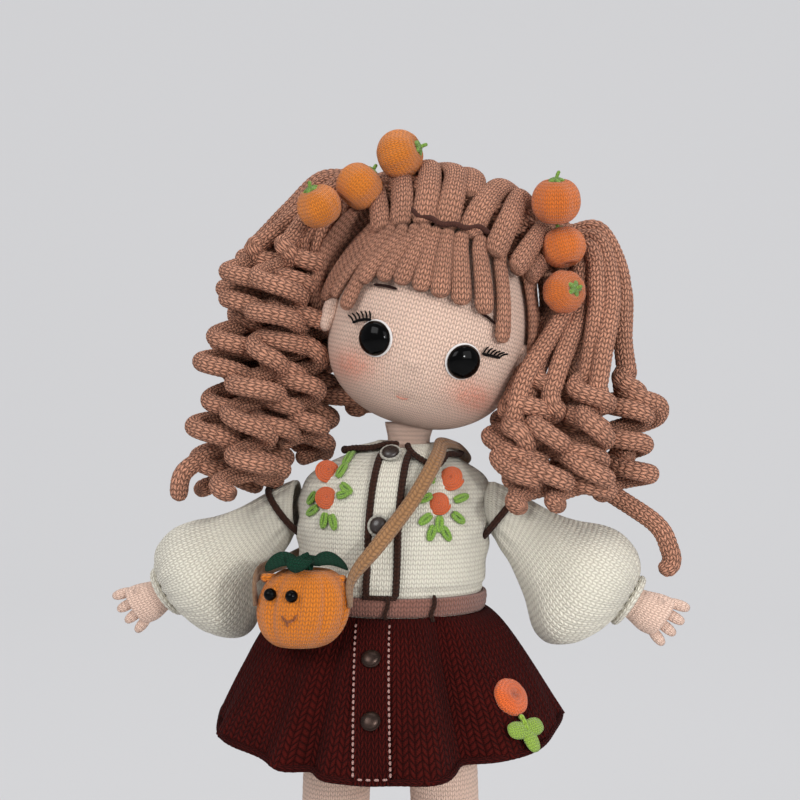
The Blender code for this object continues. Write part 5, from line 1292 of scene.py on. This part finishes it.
def makeSkirt():
    # the outer face with upright ribs, rolled under at the hem and closed by the inner face
    share = np.linspace(0.0, 1.0, skirt["rows"])[:, None]
    angle = wheel(skirt["around"])[None]
    rib = np.abs(np.sin(angle * skirt["ribs"] / 2)) ** 0.7
    beads = 0.5 + 0.5 * np.cos(share * 0.058 / skirt["stitch"] * 2 * math.pi)
    depth = 0.00045 * np.clip(share * 8, 0.0, 1.0)
    ripple = 0.0005 * share**2 * np.sin(angle * 23.0 + 1.0)
    ripple = ripple + 0.0006 * share * np.sin(angle * 14.0 + share * 3.0)
    outer = skirtSurface(angle, share, layers["cloth"] + depth * (rib * (0.90 + 0.10 * beads) - 0.6) + ripple)
    run = share[:, 0] * 0.058 / skirt["stitch"]
    uv = stitchMap(run, np.linspace(0.0, skirt["ribs"], skirt["around"] + 1))
    piece = gridPiece("skirtKnit", outer, skirtYarn, "body", "maroon", uv=uv, wall=0.0016, offset=-1.0,
                      replaces=("skirt",))
    hem = skirtSurface(wheel(400), 1.0, layers["cloth"] - 0.0006) + (0.0, 0.0, 0.0003)
    loopTube("skirtHem", hem, 0.0011, skirtYarn, "body", "maroon", gauge=(0.0014, 0.0024))


def makeSkirtFront():
    # the button band, its two rows of light running stitches and the two snaps
    half = skirt["placket"] / 2
    share = np.linspace(0.004, 1.0, 90)[:, None]
    x = np.linspace(-half, half, 34)[None]
    rest = layers["cloth"] + 0.0010
    rib = 0.0003 * np.abs(np.sin(x / 0.0024 * math.pi)) + 0 * share
    grid = skirtSpot(x + 0 * share, share + 0 * x, rest + rib)
    band = gridPiece("skirtBand", grid, skirtYarn, "body", "maroon", gauge=(0.0024, 0.0026), wrap=False,
                     wall=0.0012, offset=-1.0, inside=(0.0, 0.0, 0.14), replaces=("skirt_placket",))
    dashes = []
    for side in (-1, 1):
        for start in np.arange(0.035, 0.965, 0.036):  # one short stitch each
            line = skirtSpot(np.full(4, side * (half + 0.0002)), np.linspace(start, start + 0.018, 4),
                             rest + 0.0006)
            line[0], line[-1] = line[0] * (1, 0.985, 1), line[-1] * (1, 0.985, 1)
            dashes.append(tubeShell(smoothLine(line, 8), 0.00042, gauge=(0.0008, 0.0008), sides=8, ends=0.9))
    for x0 in np.linspace(-half * 0.78, half * 0.60, 4):  # the stitches across the foot of the band
        line = skirtSpot(np.linspace(x0, x0 + 0.0017, 4), np.full(4, 0.965), rest + 0.0007)
        dashes.append(tubeShell(smoothLine(line, 8), 0.00040, gauge=(0.0008, 0.0008), sides=8, ends=0.9))
    shellPiece("skirtStitches", dashes, runYarn, "body", "cream")
    for number, share in enumerate(skirt["buttons"], start=1):
        at = np.array(share)
        place = seatOn(skirtSpot(0.0, at, rest + 0.0008), skirtNormal(np.array(0.0), at))
        turn = np.linspace(0.0, math.pi / 2, 16)[:-1]
        snap = [(0.0030, -0.0004), (0.0033, 0.0), (0.0034, 0.0004), (0.0032, 0.0007)]
        snap += [(0.0030 * math.cos(t), 0.0008 + 0.0014 * math.sin(t)) for t in turn]
        discPiece("snap_%d" % number, snap, place, snapMetal, "body", "bronze",
                  replaces=("skirt_button_%d" % number,))


def makeSkirtFlower():
    # a round of raised segments with a dimple at its top, and three plump leaves on a stalk under it
    angle, share = math.radians(skirt["flower"][0]), skirt["flower"][1]
    spot = skirtSurface(np.array(angle), np.array(share), layers["cloth"] + 0.0008)
    place = seatOn(spot, skirtNormal(np.array(angle), np.array(share)))
    turn = wheel(110)
    polar = np.linspace(0.05, math.pi / 2 + 0.35, 26)[:, None]
    rib = 1 + 0.035 * np.abs(np.cos(turn * 3.5)) ** 0.5 - 0.03
    radius = skirt["flowerRadius"] * np.sin(polar) * rib
    height = 0.0034 * np.cos(polar) - 0.0009 * np.exp(-(np.sin(polar) / 0.25) ** 2) + 0.0002
    local = pointGrid(radius * np.cos(turn), radius * np.sin(turn), height)
    flower = gridPiece("skirtFruit", setOn(local, place), flowerYarn, "body", "orange",
                       gauge=(0.0016, 0.0014),
                       caps=(True, True), replaces=("skirt_flower",))
    shells = []
    down = -skirt["flowerRadius"] * 1.80
    for turned in (-95.0, 5.0, 95.0):
        t = np.linspace(0.0, math.pi, 18)[:, None]
        around = wheel(24)
        long, halfWide, thick = skirt["leaf"]
        wide = halfWide * np.sin(t) ** 0.75
        leaf = pointGrid(wide * np.cos(around), -long * 0.8 - long * -np.cos(t),
                         thick * np.sin(t) * np.sin(around) + 0.0012)
        leaf = spun(leaf, math.radians(turned)) + (0.0, down, 0.0)
        shells.append(gridShell(setOn(leaf, place), gauge=(0.0011, 0.0011), caps=(True, True)))
    stalk = np.array([(0.0, down - 0.001, 0.0014), (0.0002, down * 0.8, 0.0016), (0.0, down * 0.55, 0.0010)])
    shells.append(tubeShell(smoothLine(setOn(stalk, place), 20), 0.0010, sides=12))
    leaves = shellPiece("skirtLeaf", shells, limeYarn, "body", "lime", replaces=("skirt_leaves",))


makeBelt()
makeSkirt()
makeSkirtFront()
makeSkirtFlower()
print("skirt made")


arms = {"height": 0.1995, "spread": {-1: 0.0376, 1: 0.0398}, "drop": 33.6, "length": 0.0815,
        "radius": 0.0068, "rows": (
            (0.02, 0.86, 0.86, 0.0), (0.20, 1.00, 1.00, 0.0), (0.50, 0.96, 0.96, 0.0),
            (0.70, 0.88, 0.88, 0.0),
            (0.76, 0.90, 0.86, 0.05), (0.84, 1.16, 0.84, 0.15), (0.90, 1.18, 0.80, 0.28))}
fingers = {"length": (0.0050, 0.0062, 0.0060, 0.0046), "radius": 0.0021, "spread": 0.0039, "thumb": 0.0088}
sleeves = {"length": 0.060, "radius": 0.0238, "sag": 0.0052, "inward": {-1: -0.035, 1: -0.075}, "ribs": 66,
           "rows": ((0.0, 0.435, 0.0, 0.0), (0.12, 0.455, 0.10, 0.5), (0.28, 0.52, 0.25, 1.0),
                    (0.45, 0.70, 0.60, 1.0), (0.60, 0.93, 0.95, 1.0), (0.73, 1.0, 1.0, 1.0),
                    (0.85, 0.86, 0.70, 1.0), (0.93, 0.60, 0.30, 1.0), (0.97, 0.365, 0.05, 1.0),
                    (1.0, 0.346, 0.0, 1.0)),
           # each edge's name, share of the length, radius, yarn radius, tilt, material and slot
           "edges": (("armhole", 0.045, 0.0112, 0.0012, 1.15, trimYarn, "belt"),
                     ("cuffEdge", 0.990, 0.0092, 0.0013, 1.0, blouseYarn, "cream"))}


def armPoint(side, along, across, deep, rise=0.0, tip=1.0):
    # a point by the arm's axis: metres along it, up square to it and forwards; tip 0 keeps up upright
    drop = math.radians(arms["drop"])
    lean = drop * np.asarray(tip, float)
    along, across, deep, lean = np.broadcast_arrays(along, np.asarray(across, float) + rise, deep, lean)
    x = along * math.cos(drop) + np.sin(lean) * across
    z = -along * math.sin(drop) + np.cos(lean) * across
    return np.stack((side * (arms["spread"][side] + x), -deep, arms["height"] + z), axis=-1)


def makeArms():
    # a knitted tube that widens into a palm, with four short fingers and a thumb
    for side, word in bothSides:
        share = np.linspace(0.02, 0.90, 90)[:, None]
        turn = wheel(60)[None]
        size = [readRows(arms["rows"], share, column) for column in (1, 2, 3)]
        radius = arms["radius"]
        rings = armPoint(side, arms["length"] * share, radius * size[0] * np.cos(turn),
                         radius * size[1] * np.sin(turn), radius * size[2], np.clip(share / 0.2, 0, 1))
        close = [armPoint(side, arms["length"] * (0.90 + 0.018 * math.sin(t)),
                          radius * 1.18 * math.cos(t) * np.cos(turn),
                          radius * 0.80 * math.cos(t) * np.sin(turn), radius * 0.28, 1.0)
                 for t in (0.4, 0.8, 1.2, 1.45)]
        shells = [gridShell(np.concatenate((rings, *close)), gauge=(0.0017, 0.0016), caps=(True, True))]
        for number, length in enumerate(fingers["length"]):
            across = (1.5 - number) * fingers["spread"] + radius * 0.28
            start = arms["length"] * 0.875
            end = arms["length"] * 0.925 + length - 0.0010
            fan = (1.5 - number) * 0.0008
            line = armPoint(side, np.array((start, (start + end) / 2, end)),
                            across + fan * np.arange(3), np.array((0.0, 0.0003, 0.0010)))
            shells.append(tubeShell(smoothLine(line, 26), fingers["radius"], gauge=(0.0016, 0.0016), sides=16,
                                    relief=0.05, ends=0.95))
        drop, reach = math.radians(arms["drop"]), math.radians(arms["drop"] - 48.0)
        root = np.array((math.cos(drop), 0.0, -math.sin(drop))) * arms["length"] * 0.78
        way = np.array((math.cos(reach), -0.35, -math.sin(reach)))
        line = [root + way * fingers["thumb"] * t for t in (0.0, 0.35, 0.7, 0.95, 1.12)]
        line = (np.array(line) + (arms["spread"][side], 0.0, arms["height"])) * (side, 1.0, 1.0)
        shells.append(tubeShell(smoothLine(line, 30), 0.0025, gauge=(0.0016, 0.0016), sides=18, relief=0.05,
                                ends=0.95))
        piece = shellPiece("armKnit_" + word, shells, skinYarn, "arm_" + word, "skin",
                           replaces=("arm_" + word,))


def makeSleeves():
    # a balloon gathered at the armhole and the wrist: fine pleats there, soft sagging folds between
    for side, word in bothSides:
        inward = np.linspace(sleeves["inward"][side], 0.0, 8)[:-1]
        share = np.concatenate((inward, np.linspace(0.0, 1.0, 120)))[:, None]
        turn = wheel(312)[None]
        inside = np.clip(share, 0.0, 1.0)
        size, sag, tip = (readRows(sleeves["rows"], inside, column) for column in (1, 2, 3))
        size = size * (1 - 0.25 * np.clip(-share / 0.075, 0.0, 1.0))
        radius = sleeves["radius"] * size
        root = np.exp(-(inside / 0.20) ** 2) * np.clip(inside * 14, 0.15, 1.0)
        cuff = np.exp(-((inside - 0.985) / 0.10) ** 2)
        belly = np.clip(1 - np.abs(inside - 0.62) / 0.42, 0.0, 1.0)
        pleats = 0.045 * root * np.cos(turn * 13 + 0.6 * np.sin(inside * 9))
        pleats = pleats + 0.075 * cuff * np.cos(turn * 17 + 1.0)
        folds = belly * (0.020 * np.cos(5 * turn + 1.4 * side)
                         + 0.014 * np.cos(3 * turn + 6.0 * inside + side)
                         + 0.010 * np.cos(8 * turn - 9.0 * inside))
        ribs = 0.00028 * np.abs(np.cos(turn * sleeves["ribs"] / 2)) ** 0.8
        droop = -sleeves["sag"] * sag - 0.0012 * belly * (1 - np.cos(turn)) * 0.5
        outer = radius * (1 + pleats + folds) + ribs
        grid = armPoint(side, sleeves["length"] * share, outer * np.cos(turn), outer * np.sin(turn), droop,
                        tip)
        run = runAlong(grid.mean(axis=1)) / 0.0018
        uv = stitchMap(run, np.linspace(0.0, sleeves["ribs"], 313))
        piece = gridPiece("sleeveKnit_" + word, grid, blouseYarn, "arm_" + word, "cream", uv=uv, wall=0.0012,
                          offset=-1.0, replaces=("sleeve_" + word,))
        turn = wheel(110)
        for key, at, size, width, tilt, material, slot in sleeves["edges"]:
            line = armPoint(side, sleeves["length"] * at, size * np.cos(turn), size * np.sin(turn), 0.0, tilt)
            loopTube(key + "_" + word, line, width, material, "arm_" + word, slot, gauge=(0.0012, 0.0022))


bag = {"centre": (-0.0252, -0.0405, 0.1685), "half": (0.0165, 0.0105, 0.0145), "ribs": 10, "rib": 0.045,
       "hinge": 0.70, "knot": 0.93, "eye": 0.0022, "eyes": (-0.66, -0.15), "eyeRise": 0.36, "lean": 0.11,
       # each leaf's root across and deep, direction in degrees, length and width
       "leaves": ((-0.008, -0.0050, 196, 0.0125, 0.0058), (0.0075, -0.0050, 14, 0.0125, 0.0056),
                  (-0.001, -0.0062, 250, 0.0075, 0.0052), (0.002, 0.0040, 75, 0.0062, 0.0044),
                  (-0.006, 0.0030, 140, 0.0060, 0.0040)),
       # the mouth's middle, and each of its stitches from and to, as angles round and up from there
       "mouth": (math.asin(-0.18), -0.10),
       "mouthStitches": ((-0.14, 0.02, -0.04, -0.12), (-0.04, -0.12, 0.10, -0.10), (0.10, -0.10, 0.17, 0.04),
                         (-0.02, -0.12, 0.0, -0.24))}


def bagPoint(angle, lift, offset=0.0):
    # a squashed ball whose waist is drawn in along its ribs
    squash = np.cos(lift) ** 0.72
    rib = 1 - bag["rib"] * 2.0 * np.abs(np.cos(bag["ribs"] * angle / 2)) ** 6 * np.cos(lift)
    x, y, z = (size + offset for size in bag["half"])
    dimple = 0.0016 * np.exp(-(np.cos(lift) / 0.22) ** 2) * np.sign(lift)
    high = z * np.sin(lift) - dimple
    return pointGrid(x * squash * rib * np.sin(angle) + bag["lean"] * high,
                     -y * squash * rib * np.cos(angle), high) + np.array(bag["centre"])


def makeBag():
    # the stuffed body with the two knots that it hangs by, its leaves, bead eyes and stitched mouth
    turn = wheel(160)[None]
    lift = np.linspace(-math.pi / 2, math.pi / 2, 62)[1:-1, None]
    shells = [gridShell(bagPoint(turn, lift), gauge=(0.0017, 0.0016), caps=(True, True))]
    high = bag["centre"][2] + bag["half"][2] * bag["hinge"]
    for side in (-1, 1):
        reach = bag["half"][0] * bag["knot"]
        line = [(bag["centre"][0] + side * reach * t, bag["centre"][1], high) for t in (0.55, 0.7, 0.85, 1.0)]
        shells.append(tubeShell(smoothLine(line, 16), 0.0016, sides=16, ends=0.6))
    piece = shellPiece("bagKnit", shells, orangeYarn, "bag", "orange", replaces=("bag",))
    shells = []
    top = np.array(bag["centre"]) + (bag["lean"] * bag["half"][2], 0.0, bag["half"][2] - 0.0012)
    for x, y, turned, length, width in bag["leaves"]:
        t = np.linspace(0.0, math.pi, 20)[:, None]
        around = wheel(28)
        reach = length * (1 - np.cos(t)) / 2
        wide = width * np.sin(t) ** 0.8 * np.cos(around)
        thick = 0.0010 * np.sin(t) ** 0.6 * np.sin(around) + 0.0014 - 0.0022 * (reach / length) ** 2
        thick = thick + 0.0005 * np.cos(around * 2) * np.sin(t)
        spin = math.radians(turned)
        rise = 0.0020 * np.sin(np.clip(reach / length, 0, 1) * math.pi * 0.95) + 0.0010
        leaf = pointGrid(
            x * 0.25 + reach * math.cos(spin) - wide * math.sin(spin),
            y * 0.4 + reach * math.sin(spin) + wide * math.cos(spin) * 0.70,
            thick + rise - wide * math.cos(spin) * 0.30 * np.sign(-math.cos(spin) * math.cos(spin)))
        shells.append(gridShell(leaf + top, gauge=(0.0015, 0.0014), caps=(True, True)))
    stem = top + np.array(((0.0, 0.0, -0.001), (0.0004, 0.0, 0.0016), (-0.0002, 0.0, 0.0040)))
    shells.append(tubeShell(smoothLine(stem, 20), 0.0016, sides=16, ends=0.7))
    leaves = shellPiece("bagLeafKnit", shells, darkGreenYarn, "bag", "green", replaces=("bag_leaves",))
    rise = math.asin(bag["eyeRise"])
    for share, word in zip(bag["eyes"], ("right", "left")):
        place = bagPoint(np.array(math.asin(share)), np.array(rise), bag["eye"] * 0.55)
        polar = np.linspace(0.0, math.pi, 26)[1:-1, None]
        around = wheel(36)
        bead = pointGrid(np.sin(polar) * np.cos(around), np.sin(polar) * np.sin(around),
                         np.cos(polar)) * bag["eye"] + place
        gridPiece("bagEye_" + word, bead, eyeGloss, "bag", "black", caps=(True, True),
                  replaces=("bag_eye_" + word,))
    angle, high = bag["mouth"]
    shells = []
    for fromAngle, fromHigh, toAngle, toHigh in bag["mouthStitches"]:
        t = np.linspace(0.0, 1.0, 5)
        line = bagPoint(angle + fromAngle + (toAngle - fromAngle) * t,
                        high + fromHigh + (toHigh - fromHigh) * t, 0.0004)
        shells.append(tubeShell(smoothLine(line, 14), 0.00045, gauge=(0.0009, 0.001), sides=8, ends=0.9))
    shellPiece("bagMouth", shells, threadYarn, "bag", "belt")


# the strap's route: angle round the body in degrees and share of the torso's height
strap = {"width": 0.0054, "wall": 0.0014, "bow": (0.0008, -0.0015, 0.0008), "points": 260, "smooth": 37,
         "front": ((60.0, 0.862), (44.0, 0.840), (30.5, 0.798), (20.5, 0.742), (13.0, 0.66), (6.0, 0.58),
                   (-1.5, 0.51),
                   (-12.0, 0.43)),
         "back": ((80.0, 0.856), (104.0, 0.830), (136.0, 0.785), (170.0, 0.69), (200.0, 0.58), (230.0, 0.475),
                  (255.0, 0.44), (280.0, 0.44))}


def makeStrap():
    # the worn stretch lies on the body, its two ends run to the knots on the bag
    route = np.array([*reversed(strap["back"]), *strap["front"]])
    route[:, 0] = np.degrees(np.unwrap(np.radians(route[:, 0])))
    fine = smoothRings(route[:, :, None], 60)[..., 0]
    worn = bodyPoint(np.radians(fine[:, 0]), fine[:, 1], layers["strap"])
    centre, half = np.array(bag["centre"]), bag["half"][0] * bag["knot"] + 0.0003 + strap["wall"] / 2
    high = centre[2] + bag["half"][2] * bag["hinge"]
    first, last = np.array((centre[0] - half, centre[1], high)), np.array((centre[0] + half, centre[1], high))
    bow = np.array(strap["bow"])
    hang = np.array((0.0004, -0.0010, -0.0095))
    knots = np.vstack((first + hang * (-1, 1, 1), first + (-0.0008, 0, 0),
                       (first + worn[0]) / 2 + bow * (-1, 1, 1),
                       worn[:-10:4], (last + worn[-11]) / 2 + bow, last + (0.0008, 0, 0), last + hang))
    points, smooth = strap["points"], strap["smooth"]
    path = smoothLine(knots, points)
    along = unit(np.gradient(path, axis=0))
    out = path - np.array((0.002, 0.0, 0.0))
    out[:, 2] = np.where(path[:, 2] > arms["height"], path[:, 2] - arms["height"], 0.0)
    out = np.stack([np.convolve(np.pad(unit(out)[:, axis], smooth // 2, "edge"), np.ones(smooth) / smooth,
                                "valid") for axis in range(3)], axis=1)
    step = np.arange(points)
    ends = np.clip(1 - np.minimum(step, points - 1 - step) / 34.0, 0.0, 1.0)[:, None]
    sideways = np.where(step[:, None] < points / 2, -1.0, 1.0) * (1.0, 0.0, 0.0)
    out = unit(unit(out) * (1 - ends) + sideways * ends)
    across = unit(np.cross(along, out))
    out = np.cross(across, along)
    turn = wheel(28)
    flatness = np.sign(np.cos(turn)) * np.abs(np.cos(turn)) ** 0.55
    run = runAlong(path)
    beads = 1 + 0.06 * np.abs(np.sin(run / 0.0020 * math.pi))
    ring = across[:, None] * (flatness * strap["width"] / 2)[None, :, None] * beads[:, None, None]
    ring = ring + out[:, None] * (np.sin(turn) * strap["wall"] / 2)[None, :, None]
    grid = path[:, None] + ring
    uv = stitchMap(run / 0.0016, np.linspace(0.0, 8.0, 29))
    gridPiece("strapKnit", grid, strapYarn, "body", "strap", uv=uv, caps=(True, True),
              replaces=("bag_strap",))
    print("strap length", round(float(run[-1]), 4))


makeArms()
makeSleeves()
makeBag()
makeStrap()
print("arms and bag made")


# the camera looks level at a point that lies aside of the doll's axis by the shift
stage = {"shift": 0.0038, "height": 0.241, "distance": 0.450, "azimuth": 7.0, "fieldOfView": 37.4,
         "paper": ((0.70, 0.70, 0.71, 1), (0.73, 0.73, 0.74, 1)), "glow": (0.67, 0.67, 0.685, 1),
         "evenness": 0.86,
         "world": (0.92, 0.94, 1.0, 1.0), "worldStrength": 0.45}
# each light's place, aim, power and size
lights = {"key": ((-0.55, -0.95, 0.95), (0.0, 0.0, 0.22), 7.8, 0.70),
          "fill": ((0.85, -0.80, 0.55), (0.0, 0.0, 0.20), 4.4, 0.8),
          "catch": ((0.30, -0.46, 0.30), (0.0, -0.03, 0.26), 0.9, 0.045),
          "top": ((0.1, 0.25, 1.15), (0.0, 0.0, 0.25), 4.5, 0.8)}


def makeStage():
    # a floor that sweeps up behind the doll, shown at its own pale colour to the camera
    bend = np.linspace(0.1, math.pi / 2, 12)
    depth = np.concatenate((np.linspace(-1.6, 0.9, 12), 0.9 + 0.5 * np.sin(bend), np.full(8, 1.4)))
    height = np.concatenate((np.zeros(12), 0.5 * (1 - np.cos(bend)), np.linspace(0.6, 2.2, 8)))
    points = pointGrid(np.linspace(-2.4, 2.4, 9), depth[:, None], height[:, None])
    i, j = np.meshgrid(np.arange(len(depth) - 1), np.arange(8), indexing="ij")
    corner = (i * 9 + j).ravel()
    quads = np.stack([corner, corner + 1, corner + 10, corner + 9], axis=1)
    mesh = bpy.data.meshes.new("backdrop")
    mesh.from_pydata(points.reshape(-1, 3).tolist(), [], quads.tolist())
    mesh.polygons.foreach_set("use_smooth", np.ones(len(corner), bool))
    material, tree, shader = startMaterial("backdrop paper", 0.9)
    place = objectPlace(tree)
    grain = put(tree, "ShaderNodeTexNoise", {"Vector": place, "Scale": 3.0})
    paper = blendColour(tree, grain, *stage["paper"])
    tree.links.new(paper, shader.inputs["Base Color"])
    # seen by the camera the paper is mostly its own plain colour, so that it stays even
    glow = put(tree, "ShaderNodeEmission", {"Color": stage["glow"], "Strength": 1.0})
    seen = put(tree, "ShaderNodeLightPath")
    share = calc(tree, "MULTIPLY", seen, stage["evenness"])
    mix = put(tree, "ShaderNodeMixShader", {0: share, 1: shader.outputs[0], 2: glow})
    tree.links.new(mix, tree.nodes["Material Output"].inputs["Surface"])
    mesh.materials.append(material)
    floor = bpy.data.objects.new("backdrop", mesh)
    bpy.context.scene.collection.objects.link(floor)


def makeLight(name, place, aim, power, size):
    # a square lamp turned towards what it lights
    lamp = bpy.data.lights.new(name, "AREA")
    lamp.energy, lamp.size = power, size
    holder = bpy.data.objects.new(name, lamp)
    bpy.context.scene.collection.objects.link(holder)
    holder.location = place
    holder.rotation_euler = (Vector(aim) - Vector(place)).to_track_quat("-Z", "Y").to_euler()


def makeCamera():
    # level with its target, aside by the azimuth; the lens follows from the field of view
    camera = bpy.data.cameras.new("camera")
    camera.sensor_width = 36.0
    camera.lens = 18.0 / math.tan(math.radians(stage["fieldOfView"] / 2))
    camera.clip_start, camera.clip_end = 0.01, 20.0
    holder = bpy.data.objects.new("camera", camera)
    bpy.context.scene.collection.objects.link(holder)
    turn = math.radians(stage["azimuth"])
    target = Vector((stage["shift"] * math.cos(turn), stage["shift"] * math.sin(turn), stage["height"]))
    holder.location = target + Vector((math.sin(turn), -math.cos(turn), 0.0)) * stage["distance"]
    holder.rotation_euler = (target - holder.location).to_track_quat("-Z", "Y").to_euler()
    bpy.context.scene.camera = holder


makeStage()
for name, values in lights.items():
    makeLight(name, *values)
makeCamera()
world = bpy.data.worlds.new("studio")
world.use_nodes = True
world.node_tree.nodes["Background"].inputs["Color"].default_value = stage["world"]
world.node_tree.nodes["Background"].inputs["Strength"].default_value = stage["worldStrength"]
bpy.context.scene.world = world
bpy.context.scene.view_settings.view_transform = "Standard"
print("stage made")
